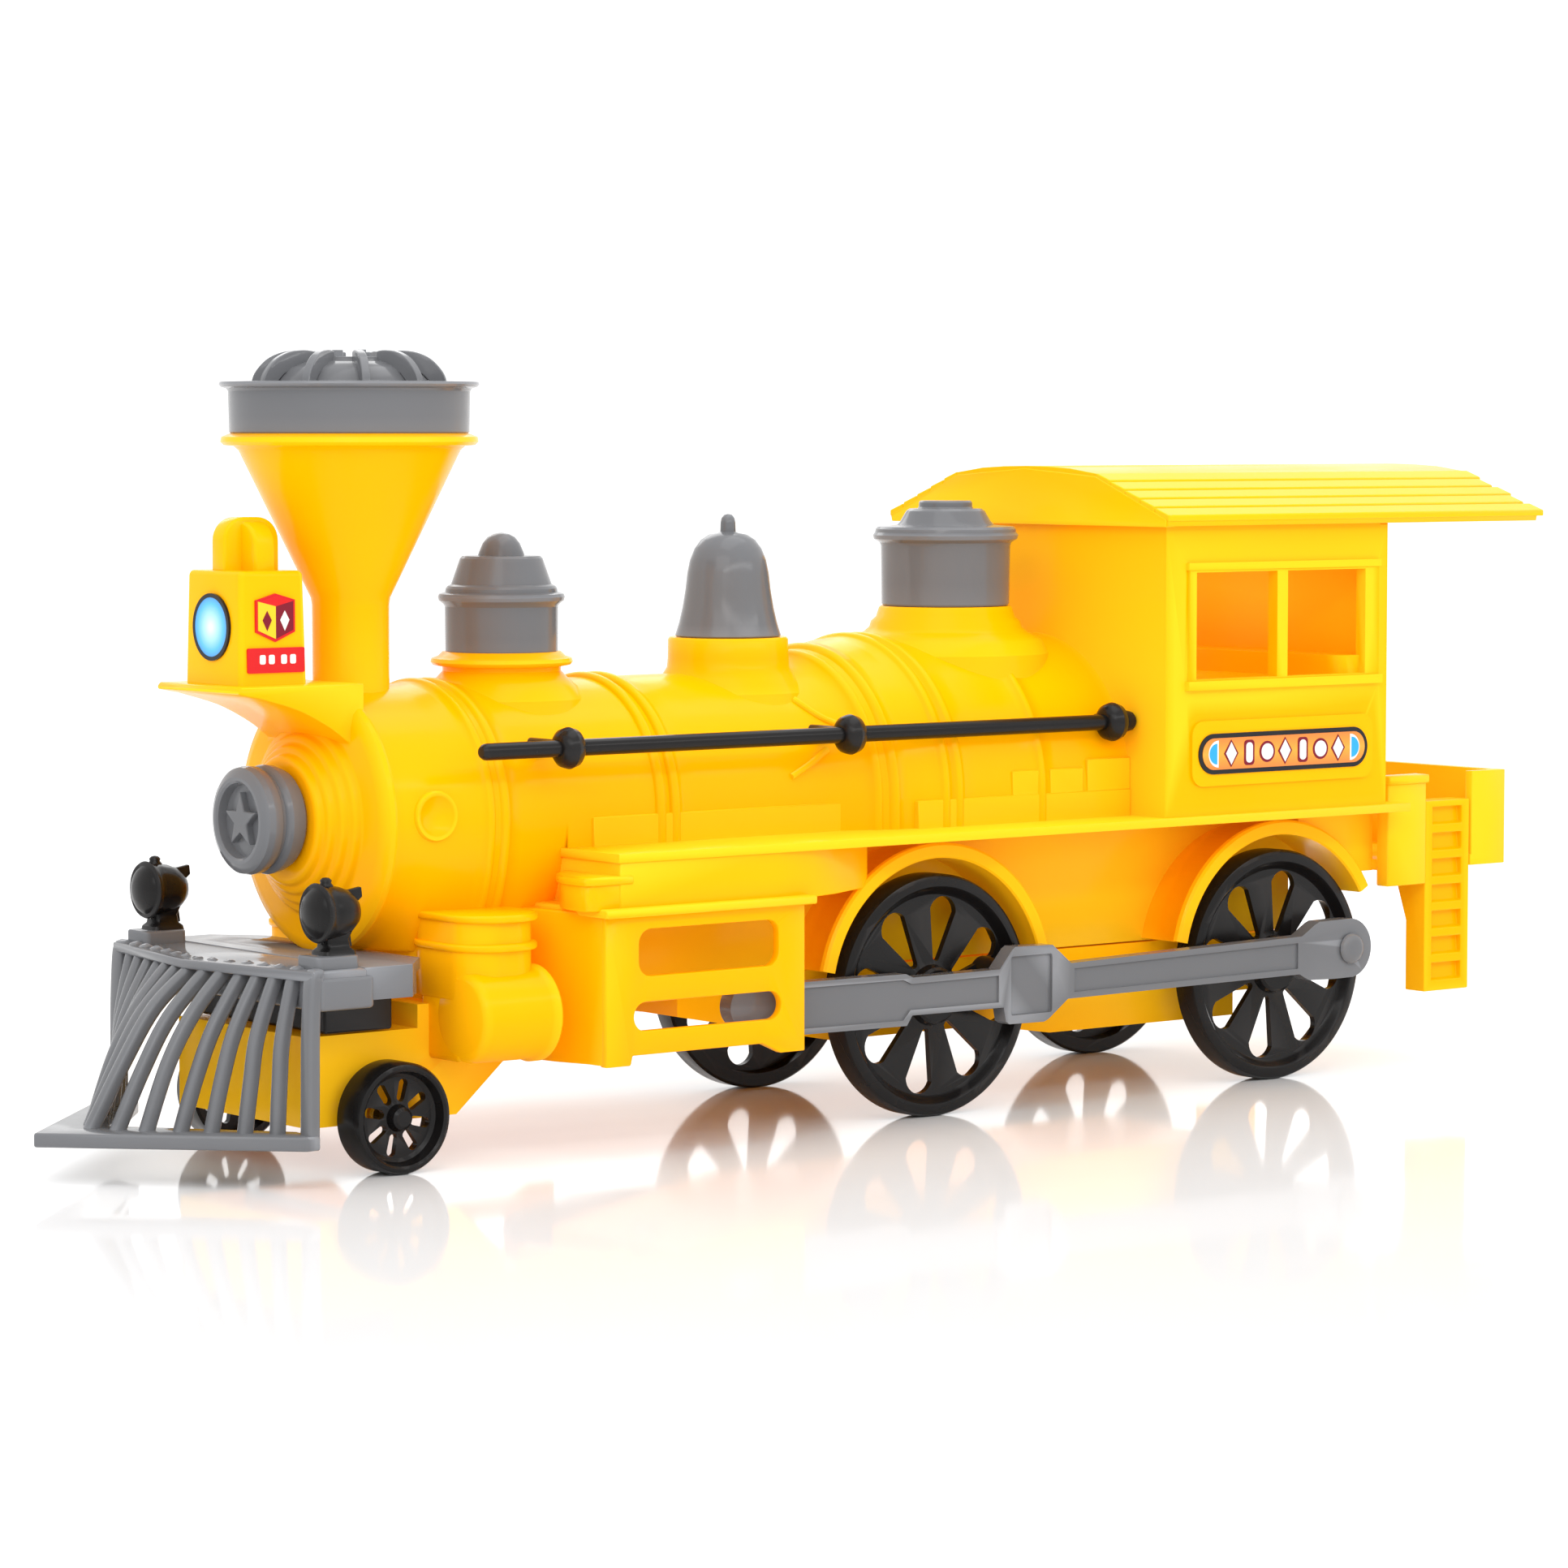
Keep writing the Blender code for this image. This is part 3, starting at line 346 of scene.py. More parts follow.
def moulded(name, light, dark, gloss, fine=0.03, shine=0.25, edge=None, painted_glow=None):
    """Injection-moulded plastic: faint flow tone, uneven gloss, orange peel, grain, paler edges that are a
    painted highlight, and an optional faint orange emission that is painted glow in the shade.
    """
    n = Nodes(name)
    tone = n.blend(n.noise(22.0, 3.0), light, dark)
    # painted highlight: convex edges found by pointiness are mixed towards a paler edge colour, as if
    # catching the light
    if edge:
        edge_highlight_mask = n.add("NewGeometry").outputs["Pointiness"]
        mix = n.add("Mix", {"data_type": "RGBA"})
        n.tree.links.new(n.remap(edge_highlight_mask, 0.52, 0.62, 0.0, 0.6), mix.inputs[0])
        n.tree.links.new(tone, mix.inputs[6])
        mix.inputs[7].default_value = (*edge, 1.0)
        tone = mix.outputs[2]
    n.drive("Base Color", tone)
    n.drive("Roughness", n.spread(n.noise(60.0, 4.0), *gloss))
    peel = n.add("Bump", Height=n.noise(420.0, 1.0), Strength=0.06, Distance=0.0004).outputs["Normal"]
    grain = n.add("Bump", Height=n.noise(3200.0, 2.0), Strength=fine, Distance=0.0001, Normal=peel)
    n.drive("Normal", grain.outputs["Normal"])
    n.shader.inputs["Specular IOR Level"].default_value = shine
    # painted glow: an even orange emission that lifts shaded areas towards orange, though the plastic is no
    # lamp
    if painted_glow:
        n.shader.inputs["Emission Color"].default_value = (*painted_glow, 1.0)
        n.shader.inputs["Emission Strength"].default_value = PAINTED_GLOW_STRENGTH
    return n.material


def ink(name, light, dark):
    """Glossy printed ink of a sticker."""
    return moulded(f"sticker_{name}", light, dark, (0.15, 0.2), fine=0.0)


# the yellow's edge colour is a painted edge highlight, and its glow colour is a painted orange glow in the
# shade
YELLOW = moulded(
    "yellow_plastic", (1.0, 0.455, 0.0), (1.0, 0.435, 0.0), (0.16, 0.24),
    shine=0.07, edge=(1.0, 0.66, 0.02), painted_glow=(1.0, 0.3, 0.0),
)
# the edge colours of the grey and black plastics are painted edge highlights
GREY = moulded(
    "grey_plastic", (0.148, 0.15, 0.158), (0.134, 0.137, 0.145), (0.12, 0.2), edge=(0.3, 0.31, 0.33)
)
BLACK = moulded(
    "black_plastic", (0.009, 0.008, 0.008), (0.006, 0.0055, 0.0055), (0.2, 0.28),
    shine=0.2, edge=(0.03, 0.028, 0.028),
)
WHITE = moulded("white_nylon", (0.8, 0.79, 0.74), (0.76, 0.75, 0.7), (0.45, 0.55))
INK_BLACK = ink("black", (0.01, 0.01, 0.012), (0.014, 0.014, 0.016))
INK_RED = ink("red", (0.72, 0.012, 0.012), (0.6, 0.01, 0.012))
INK_WINE = ink("wine", (0.22, 0.005, 0.02), (0.17, 0.004, 0.016))
INK_WHITE = ink("white", (0.86, 0.84, 0.82), (0.8, 0.78, 0.77))
INK_YELLOW = ink("yellow", (0.95, 0.6, 0.02), (0.9, 0.55, 0.02))
INK_BLUE = ink("blue", (0.03, 0.42, 0.85), (0.03, 0.36, 0.8))


def steel():
    """Plated steel with fine turning marks."""
    n = Nodes("plated_steel")
    where = n.add("TexCoord").outputs["Object"]
    stretched = n.add("Mapping", Vector=where, Scale=(4.0, 1.0, 1.0)).outputs["Vector"]
    n.drive("Base Color", n.blend(n.noise(90.0, 3.0, stretched), (0.55, 0.55, 0.57), (0.45, 0.45, 0.47)))
    n.drive("Roughness", n.spread(n.noise(900.0, 2.0, stretched), 0.18, 0.34))
    n.shader.inputs["Metallic"].default_value = 1.0
    return n.material


def printed(n, colour, gloss):
    """Finishes a sticker whose colour varies across it, with a thin clear coat."""
    n.drive("Base Color", colour)
    n.drive("Roughness", n.spread(n.noise(90.0), *gloss))
    n.shader.inputs["Coat Weight"].default_value = 0.5
    return n.material


def lens_print(centre, radius):
    """Printed lens: white heart fading through sky blue to a deep blue rim."""
    n = Nodes("lens_print")
    away = n.add("VectorMath", {"operation": "DISTANCE"})
    n.tree.links.new(n.add("TexCoord").outputs["Object"], away.inputs[0])
    away.inputs[1].default_value = centre
    stops = [(0.0, (0.86, 0.95, 1.0)), (0.35, (0.42, 0.78, 1.0)), (0.72, (0.06, 0.5, 0.98))]
    stops.append((1.0, (0.01, 0.2, 0.6)))
    return printed(n, n.ramp(n.remap(away.outputs["Value"], 0.0, radius), *stops), (0.1, 0.16))


def plate_print(centre_z, half_height):
    """Printed name plate ground: orange, deeper towards its top and bottom."""
    n = Nodes("plate_print")
    parts = n.add("SeparateXYZ", Vector=n.add("TexCoord").outputs["Object"])
    above = n.add("Math", {"operation": "SUBTRACT"})
    n.tree.links.new(parts.outputs["Z"], above.inputs[0])
    above.inputs[1].default_value = centre_z
    size = n.add("Math", {"operation": "ABSOLUTE"})
    n.tree.links.new(above.outputs[0], size.inputs[0])
    tone = n.remap(size.outputs[0], 0.0, half_height)
    return printed(n, n.ramp(tone, (0.0, (0.9, 0.36, 0.01)), (1.0, (0.6, 0.08, 0.005))), (0.14, 0.2))


# the prints are placed in metres, as the shader sees them
STEEL = steel()
LENS = lens_print((0.0, -0.117, 0.0868), 0.0052)
PLATE = plate_print(0.0609, 0.0047)


# ---- boiler
def boiler_radius(y):
    if y < -9.0:
        return BOILER_R
    if y > 12.0:
        return FIREBOX_R
    t = (y + 9.0) / 21.0
    t = t * t * (3 - 2 * t)
    return BOILER_R + (FIREBOX_R - BOILER_R) * t


RIBS = [
    smooth_path([(-8.4, 72.2), (-5.4, 69.2), (-1.6, 67.6), (4.0, 67.0)]),
    smooth_path([(-6.4, 63.8), (-10.5, 61.6), (-15.0, 59.6)]),
]


def boiler():
    """Shell that is round at its front and full-sided behind, with raised bands in pairs."""
    bands = [y + offset for y in (-76.0, -41.5, 2.7, 15.8) for offset in (-1.5, 1.5)] + [36.2]
    stations = {-95.7, -62.4, -61.6, 57.2}
    y = -95.0
    while y < 56:
        stations.add(round(y, 2))
        y += 3.0
    for band in bands:
        stations.update(round(band + k, 3) for k in (-0.95, -0.75, -0.5, -0.25, 0, 0.25, 0.5, 0.75, 0.95))
    sections = []
    for y in sorted(stations):
        rise = max(0.9 * sqrt(max(0.0, 1 - (y - band) ** 2)) for band in bands)
        r = boiler_radius(y) + rise
        foot = AXIS_Z - r if y < -62 else 49.6
        taper = 1.0 if y < -62 else 0.0
        spread = min(1.0, max(0.0, (y + 94.0) / 7.0))
        half = []
        for k in range(12):
            down = radians(86 - 84 * k / 11)
            drop = (AXIS_Z - foot) * sin(down)
            wide = r - taper * 2.9 * (drop / 14) ** 2
            half.append((wide * spread + r * cos(down) * (1 - spread), AXIS_Z - drop))
        half += arc((0, AXIS_Z), r, 0, 90, 24)
        full = half + [(-u, v) for u, v in reversed(half[:-1])]
        sections.append([(u, y, v) for u, v in full])
    shell = loft(sections)
    sand = [
        (0, 70), (14.2, 70), (13.8, 73.6), (12.6, 75.6), (11.0, 77.0), (9.9, 78.2), (9.9, 78.9),
        (11.5, 79.2), (11.9, 79.7), (11.7, 80.3), (10.6, 80.7), (9.9, 81.4), (0, 81.4)
    ]
    bell = [
        (0, 69), (14.6, 69), (13.6, 73.2), (11.6, 75.8), (10.6, 77.4), (10.45, 79), (10.4, 82.2),
        (10.1, 82.6), (0, 82.6)
    ]
    steam = [
        (0, 73), (18.6, 73), (18.4, 78.5), (17.2, 81.0), (14.6, 82.3), (13.6, 83.2), (13.3, 84.2),
        (12.4, 85.0), (11.9, 86.6), (11.6, 86.9), (0, 86.9)
    ]
    seats = ((SAND_Y, sand), (BELL_Y, bell), (STEAM_Y, steam))
    extras = [turned(profile, "z", (0, y, 0)) for y, profile in seats]
    for side in (1, -1):
        boss = [(0, 17.5), (4.1, 17.5), (4.1, 21.5), (3.9, 21.9), (3.3, 21.9), (3.1, 21.6), (0, 21.6)]
        extras.append(turned([(r, side * h) for r, h in boss], "x", (0, -88.0, 56.4), 40))
        for path in RIBS:
            points = []
            for y, z in path:
                r = boiler_radius(y) + 0.1
                points.append((side * sqrt(max(1.0, r * r - (z - AXIS_Z) ** 2)), y, z))
            extras.append(tube(points, 0.6, 10))
        # ledge strip above the running board, with its row of shallow panels
        for y0, y1, reach in ((-57.0, 6.0, BOILER_R), (8.0, 57.0, FIREBOX_R)):
            extras.append(moulding(box(*span(side, reach - 3, reach + 0.5), y0, y1, 49.8, 54.8), 0.25, 2))
        for y0, y1, top in ((29.5, 37.2, 59.0), (38.2, 45.9, 59.0), (46.9, 57.0, 60.4)):
            panel = box(*span(side, FIREBOX_R - 6, FIREBOX_R + 0.3), y0, y1, 54.0, top)
            extras.append(moulding(panel, 0.25, 2))
    piece(gather(shell, *extras), "boiler_shell", YELLOW, ["boiler_barrel"], 32)


def smokebox():
    """Stepped, softly rounded rings, and the headlamp bracket with its shallow cove."""
    z = AXIS_Z
    profile = [
        (0, -95.7), (21.9, -95.7), (22.1, -96.2), (22.0, -97.0), (21.4, -97.7), (19.6, -98.2),
        (16.4, -98.4)
    ]
    for radius, y in ((15.6, -98.6), (13.9, -99.9), (12.2, -101.2), (10.7, -102.4)):
        profile += [
            (radius, y), (radius - 0.15, y - 0.6), (radius - 0.6, y - 0.95), (radius - 1.2, y - 1.1)
        ]
    profile += [(9.0, -103.4), (0, -103.4)]
    front = turned(profile, "y", (0, 0, z), 96)
    lip = [(-119.2, 76.5), (-119.3, 77.0), (-118.8, 77.6), (-95.6, 77.6), (-95.6, 62.0), (-98.0, 62.0)]
    cove = smooth_path([(-98.4, 68.0), (-102.0, 70.6), (-108.0, 73.6), (-115.5, 75.8)], 5)
    bracket = moulding(prism([*lip, *cove], "x", -12.3, 12.3), 0.45)
    piece(gather(front, bracket), "smokebox_and_bracket", YELLOW, ["smokebox_front"], 32)


def door_plug():
    """Drum with two rounded rims, a sunken face and a plain five-pointed star."""
    z = AXIS_Z + 0.3
    profile = [
        (0, -103.2), (7.6, -103.2), (8.7, -104.2), (9.3, -105.6), (9.45, -106.8), (9.2, -107.6),
        (8.75, -107.9), (8.8, -108.4), (9.25, -108.8), (9.35, -110.2), (9.1, -111.2), (8.5, -111.7),
        (7.5, -112.1), (6.9, -112.1), (6.5, -111.8), (6.3, -111.0), (6.15, -110.4), (0, -110.3)
    ]
    plug = turned([(0.94 * r, y) for r, y in profile], "y", (0, 0, z), 72)
    star = []
    for i in range(10):
        radius = 4.8 if i % 2 == 0 else 2.0
        angle = radians(90 + 36 * i)
        star.append((radius * cos(angle), z + radius * sin(angle)))
    raised = moulding(prism(star, "y", -111.6, -109.9), 0.3)
    piece(gather(plug, raised), "door_plug_star", GREY, ["door_plug"], 24)


def chimney():
    """Funnel, ring, and a spider of arched ribs over a low dome."""
    outer = [
        (6.25, 74.5), (6.3, 89.8), (6.5, 91.0), (18.0, 114.9), (18.8, 115.6), (20.4, 115.75),
        (20.95, 116.3), (20.8, 117.1), (19.6, 117.6), (17.6, 118.0)
    ]
    inner = [(16.6, 118.4), (16.0, 115.2), (5.0, 92.0), (5.0, 74.5)]
    piece(turned(outer + inner, "z", (0, CHIMNEY_Y, 0), 96), "chimney_cone", YELLOW, ["chimney_funnel"], 30)
    ring = [
        (17.0, 117.5), (19.2, 117.6), (19.5, 117.9), (19.65, 124.5), (19.9, 124.9), (20.8, 125.2),
        (21.15, 125.6), (21.0, 126.0), (17.4, 126.1), (17.0, 125.9)
    ]
    piece(turned(ring, "z", (0, CHIMNEY_Y, 0), 96), "chimney_ring", GREY, ["chimney_cap_ring"], 30)
    dome = [
        (0, 118.2), (16.7, 118.2), (16.7, 125.3), (13.2, 125.3), (12.8, 126.4), (11.0, 128.2),
        (8.6, 129.2), (7.2, 129.4), (7.0, 130.0), (3.6, 130.1), (3.2, 129.8), (0, 129.8)
    ]
    spider = turned(dome, "z", (0, CHIMNEY_Y, 0), 72)
    ribs = []
    for i in range(10):
        path = [
            (16.0, 124.6), (15.9, 126.2), (15.2, 127.8), (13.4, 129.7), (11.0, 130.8), (8.4, 131.1),
            (6.6, 130.9)
        ]
        outline = [
            *smooth_path(path, 4), (6.6, 128.6), (9.8, 128.2), (12.0, 127.2), (13.4, 125.8),
            (13.8, 124.2)
        ]
        rib = moulding(prism(outline, "y", -0.7, 0.7), 0.25, 2)
        turn = Matrix.Rotation(tau * (i + 0.35) / 10, 4, "Z")
        rib.data.transform(Matrix.Translation((0, CHIMNEY_Y * 0.001, 0)) @ turn)
        ribs.append(rib)
    for x in (-3.4, 3.4):
        ribs.append(rod("z", (x, CHIMNEY_Y, 0), 0.9, 129.5, 131.2, 16))
    piece(gather(spider, *ribs), "chimney_spider_cap", GREY, ["chimney_spider"], 28)


def domes():
    sand = [
        (0, 81.2), (9.2, 81.2), (9.4, 81.5), (9.45, 88.9), (9.7, 89.3), (10.45, 89.9), (10.6, 90.5),
        (10.4, 91.0), (9.4, 91.3), (9.3, 91.9), (9.0, 92.3), (8.4, 92.6), (6.9, 96.9), (6.5, 97.3),
        (3.9, 97.4), (3.7, 98.0), (3.1, 99.4), (2.3, 100.4), (1.2, 101.0), (0, 101.2)
    ]
    piece(turned(sand, "z", (0, SAND_Y, 0)), "sand_dome", GREY, ["sand_dome_cap"], 24)
    bell = [
        (0, 82.7), (9.0, 82.7), (9.15, 82.9), (8.5, 85.0), (7.9, 87.6), (7.4, 90.6), (7.05, 93.6),
        (6.6, 95.8), (5.8, 97.8), (4.7, 99.3), (3.3, 100.2), (1.7, 100.5), (1.35, 100.7), (1.3, 102.2),
        (1.15, 103.0), (0.7, 103.6), (0, 103.8)
    ]
    piece(turned(bell, "z", (0, BELL_Y, 0)), "bell_body", GREY, ["bell"], 50)
    steam = [
        (0, 87.0), (11.2, 87.0), (11.4, 87.3), (11.55, 97.6), (11.8, 98.2), (12.8, 98.8), (13.0, 99.5),
        (12.6, 100.0), (12.5, 100.6), (12.1, 101.0), (8.7, 101.3), (8.1, 101.9), (7.0, 103.8),
        (6.4, 104.2), (5.0, 104.25), (4.8, 104.5), (4.75, 105.3), (4.5, 105.6), (0, 105.65)
    ]
    piece(turned(steam, "z", (0, STEAM_Y, 0)), "steam_dome", GREY, ["steam_dome_cap"], 24)


# ---- headlamp
GROUND, MARKS = (8.2, 8.62), (8.4, 8.7)


def sticker(outline, side, depth, name, finish, nodes=()):
    """One flat print; depth is its inner and outer distance from the middle plane."""
    piece(prism(outline, "x", *span(side, *depth)), name, finish, nodes)


def headlamp():
    sections = []
    for z, grow in ((77.4, 0.35), (79.4, 0.3), (95.2, 0.0), (95.8, -0.35)):
        x, y = 8.0 + grow, 6.0 + grow
        sections.append([(u, v + LAMP_Y, z) for u, v in rounded(-x, x, -y, y, 0.9, 5)])
    piece(soften(loft(sections), 0.3, 2), "headlamp_case", YELLOW, ["headlamp_box"])
    lobes = []
    for axis, half, centre, high in (("y", 5.9, 0.0, 103.6), ("x", 5.2, LAMP_Y, 104.3)):
        outline = [
            (-half, 95.0), (half, 95.0), (half, high - 3.8),
            *arc((half - 3.8, high - 3.8), 3.8, 0, 90, 8)[1:],
            *arc((-half + 3.8, high - 3.8), 3.8, 90, 180, 8)
        ]
        outline = [(u + centre, v) for u, v in outline]
        start = -112.1 if axis == "y" else -2.0
        lobes.append(moulding(prism(outline, axis, start, start + 4.0), 0.6, 4))
    piece(gather(*lobes), "headlamp_chimney", YELLOW, ["headlamp_vent"], 30)
    rim = turned([(4.75, -116.3), (5.4, -116.3), (5.4, -116.75), (4.75, -116.75)], "y", (0, 0, LAMP_Z), 64)
    piece(rim, "headlamp_rim", INK_BLACK)
    piece(rod("y", (0, 0, LAMP_Z), 4.9, -116.7, -116.2, 64), "headlamp_glass", LENS, ["headlamp_lens"])
    for name, side in SIDES:
        label = rounded(-115.2, -104.5, 79.6, 83.6, 0.3, 3)
        sticker(label, side, GROUND, f"lamp_label_{name}", INK_RED, [f"headlamp_label_{name}"])
        for i in range(4):
            y = -113.0 + i * 1.7 + (0.6 if i > 1 else 0.0)
            bar = rounded(y, y + 1.1, 81.0, 82.5, 0.3, 3)
            sticker(bar, side, MARKS, f"lamp_label_bar_{name}_{i}", INK_WHITE)
        # a plain toy block seen on its corner: two side faces, each with a spot, and a top face
        cy, top, w, h = -109.9, 91.9, 3.3, 5.2
        near = [(cy - w, top - 0.9), (cy, top - 1.7), (cy, top - h - 1.7), (cy - w, top - h - 0.3)]
        far = [(cy, top - 1.7), (cy + w, top - 0.9), (cy + w, top - h - 0.3), (cy, top - h - 1.7)]
        lid = [(cy - w, top - 0.9), (cy, top), (cy + w, top - 0.9), (cy, top - 1.7)]
        faces = ((near, INK_YELLOW, "near"), (far, INK_WINE, "far"), (lid, INK_RED, "top"))
        for outline, finish, part in faces:
            sticker(outline, side, GROUND, f"lamp_block_{part}_{name}", finish)
        back = [
            (cy - w - 0.4, top - 0.7), (cy, top + 0.35), (cy + w + 0.4, top - 0.7),
            (cy + w + 0.4, top - h - 0.6), (cy, top - h - 2.2), (cy - w - 0.4, top - h - 0.6)
        ]
        sticker(back, side, (8.15, 8.5), f"lamp_block_edge_{name}", INK_RED)
        for y, finish, part in ((cy - w / 2, INK_WINE, "near"), (cy + w / 2, INK_WHITE, "far")):
            spot = [(y - 0.85, top - 3.9), (y, top - 2.4), (y + 0.85, top - 3.9), (y, top - 5.6)]
            sticker(spot, side, MARKS, f"lamp_block_spot_{part}_{name}", finish)


# ---- handrails
def handrails():
    x, z = RAIL_X, RAIL_Z
    for name, side in SIDES:
        profile = [
            (0, -83.5), (0.9, -83.4), (1.3, -82.9), (1.4, -82.2), (1.4, 54.4), (1.75, 54.6),
            (1.9, 55.3), (1.75, 56.2), (1.2, 56.8), (0, 56.9)
        ]
        rail = turned(profile, "y", (side * x, 0, z), 12)
        parts = []
        for y in (-66.2, -7.5, 52.0):
            ball = [
                (0, -2.2), (1.5, -2.2), (2.3, -1.95), (3.1, -1.2), (3.45, 0), (3.1, 1.2), (2.3, 1.95),
                (1.5, 2.2), (0, 2.2)
            ]
            parts.append(turned(ball, "y", (side * x, y, z), 32))
            reach = boiler_radius(y) - 2.5
            reach = sqrt(max(1.0, reach * reach - (z - AXIS_Z) ** 2))
            parts.append(rod("x", (0, y, z), 1.25, *span(side, reach, x - 0.5), 20))
        piece(gather(rail, *parts), f"rail_{name}", BLACK, [f"handrail_{name}"], 32)


# ---- cab and roof
def cab():
    shell = box(-CAB_X, CAB_X, CAB_FRONT, CAB_BACK, 49.8, CAB_TOP)
    inner_x = CAB_X - WALL
    for z0, z1 in ((72.4, CAB_TOP + 1), (49, 70.6)):
        cut(shell, box(-inner_x, inner_x, CAB_FRONT + WALL, CAB_BACK - WALL, z0, z1))
    for side in (1, -1):
        # the window frame, its sill and its top rail: how far each stands out, then its extent
        for proud, *extent in (
            (0.55, 62.2, 108.9, 73.4, 94.2),
            (1.1, 61.6, 109.4, 72.3, 73.9),
            (0.8, 61.8, 109.2, 93.5, 94.8),
        ):
            join(shell, box(*span(side, CAB_X - 0.3, CAB_X + proud), *extent))
        pad = rounded(63.0, 107.6, 55.2, 66.8, 2.6)
        join(shell, prism(pad, "x", *span(side, CAB_X - 0.3, CAB_X + 0.5)))
        for y0, y1 in ((63.8, 83.4), (86.0, 105.4)):
            cut(shell, box(*span(side, inner_x - 1, CAB_X + 2), y0, y1, 74.2, 93.1))
    # a curved bench and ledge inside, under the rear wall
    join(shell, prism(rounded(-CAB_X + 1.0, CAB_X - 1.0, 100.0, CAB_BACK - 1, 3.0), "z", 71.0, 77.4))
    join(shell, box(-CAB_X + 1, CAB_X - 1, CAB_FRONT + 1, CAB_BACK - 1, 71.0, 73.4))
    piece(soften(shell, 0.4), "cab_walls", YELLOW, ["cab_body"])


def roof():
    """Arched canopy, its slopes laid in planks of slightly different length, with a closed gable."""
    upper = [(ROOF_X, 102.9), (19.2, 110.4), (12.0, 111.3), (6.0, 111.6), (0.0, 111.7)]
    lower = [(ROOF_X - 0.4, 101.3), (19.0, 108.9), (12.0, 109.6), (6.0, 109.95), (0.0, 110.1)]
    outline = mirrored(upper) + [(-u, v) for u, v in lower[:-1]] + lower[::-1]
    sheet = prism(outline, "y", ROOF_FRONT, ROOF_BACK - 1.6)
    gable = mirrored([(37.6, 101.2), (37.6, 102.5), (19.0, 109.9), (0.0, 111.2)])
    join(sheet, prism(gable, "y", ROOF_FRONT - 0.2, ROOF_FRONT + 2.0))
    rear_gable = mirrored([(36.4, 101.0), (19.0, 109.4), (0, 110.8)])
    join(sheet, prism(rear_gable, "y", 109.6, CAB_BACK - 0.2))
    planks = []
    count = 5
    for side in (1, -1):
        for i in range(count):
            t0, t1 = (i + 0.02) / count, (i + 0.96) / count
            back = ROOF_BACK - (0.0, 1.3, 0.5, 1.6, 0.8)[i]
            ends = []
            for t in (t0, t1):
                ends.append((side * (ROOF_X + 0.1 - (ROOF_X - 18.9) * t), 103.2 + 7.5 * t))
            (u0, v0), (u1, v1) = ends
            board = [(u0, v0 + 0.05), (u1, v1 - 0.12), (u1, v1 - 1.3), (u0, v0 - 1.1)]
            planks.append(moulding(prism(board, "y", ROOF_FRONT - 0.1, back), 0.25, 2))
    piece(gather(moulding(sheet, 0.35, 3, 24), *planks), "canopy", YELLOW, ["cab_roof"], 24)


def plates():
    """Pill-shaped printed plates: dark border, orange ground, half rounds and plain ornaments."""
    y0, y1, z0, z1 = 64.4, 106.0, 57.3, 64.5
    mid = (z0 + z1) / 2
    base = CAB_X + 0.45
    for name, side in SIDES:
        border = rounded(y0, y1, z0, z1, 3.59, 16)
        ground = rounded(y0 + 0.8, y1 - 0.8, z0 + 0.8, z1 - 0.8, 2.79, 16)
        nodes = [f"nameplate_{name}"]
        sticker(border, side, (base, base + 0.3), f"plate_border_{name}", INK_BLACK, nodes)
        sticker(ground, side, (base + 0.2, base + 0.42), f"plate_ground_{name}", PLATE)
        for end, y, start, shift in (("fore", y0 + 4.2, 90, 0.35), ("aft", y1 - 4.2, -90, -0.35)):
            half = arc((y, mid), 1.85, start, start + 180, 14)
            sticker(half, side, (base + 0.3, base + 0.5), f"plate_{end}_round_{name}", INK_BLUE)
            halo = arc((y + shift, mid), 2.4, start, start + 180, 14)
            sticker(halo, side, (base + 0.26, base + 0.46), f"plate_{end}_halo_{name}", INK_WHITE)
        for i in range(7):
            y = y0 + 7.6 + i * 4.4
            for grow, low, high, finish, part in (
                (0.45, 0.3, 0.48, INK_WINE, "edge"),
                (0.0, 0.4, 0.54, INK_WHITE, "mark"),
            ):
                if i % 3 == 0:
                    w, h = 1.3 + grow, 2.0 + grow
                    outline = [(y - w, mid), (y, mid + h), (y + w, mid), (y, mid - h)]
                elif i % 3 == 1:
                    w, h = 0.8 + grow, 1.8 + grow
                    outline = rounded(y - w, y + w, mid - h, mid + h, 0.7, 4)
                else:
                    outline = arc((y, mid), 1.45 + grow, 0, 345, 23)
                sticker(outline, side, (base + low, base + high), f"plate_{part}_{name}_{i}", finish)


# ---- rear platform and ladders
def platform():
    """Deck between tall front side panels, with an open doorway for the ladders and a rear rail."""
    front = 117.3
    deck = box(-31, 31, front, 148.0, 37.0, 39.0)
    join(deck, box(-31, 31, 146.1, 148.0, 37.2, 54.6))
    extras = []
    for side in (1, -1):
        join(deck, box(*span(side, 29.2, 31), 139.2, 147.8, 37.2, 54.6))
        cut(deck, box(*span(side, 25.7, 33), 126.7, 138.9, 36, 60))
        extras.append(moulding(box(*span(side, 28.6, 31.6), 116.6, 126.6, 34.2, 54.0), 0.35))
        extras.append(moulding(box(*span(side, 28.4, 32.2), 116.4, 126.9, 53.0, 54.6), 0.4))
    piece(gather(moulding(deck), *extras), "rear_deck", YELLOW, ["rear_platform"], 34)


def ladders():
    for name, side in SIDES:
        outline = [
            (26.0, 36.9), (26.0, 49.5), (31.0, 49.5), (31.0, 14.0), (26.0, 14.0), (26.0, 27.0),
            (22.6, 36.6)
        ]
        ladder = prism([(side * u, v) for u, v in outline], "y", 127.0, 138.6)
        for i in range(7):
            top = 48.3 - i * 4.85
            steps = [
                (side * 31.5, top), (side * 29.6, top), (side * 29.9, top - 2.9),
                (side * 31.5, top - 3.35)
            ]
            cut(ladder, prism(steps, "y", 129.0, 136.6))
        piece(soften(ladder, 0.28, 2), f"steps_{name}", YELLOW, [f"ladder_{name}"])


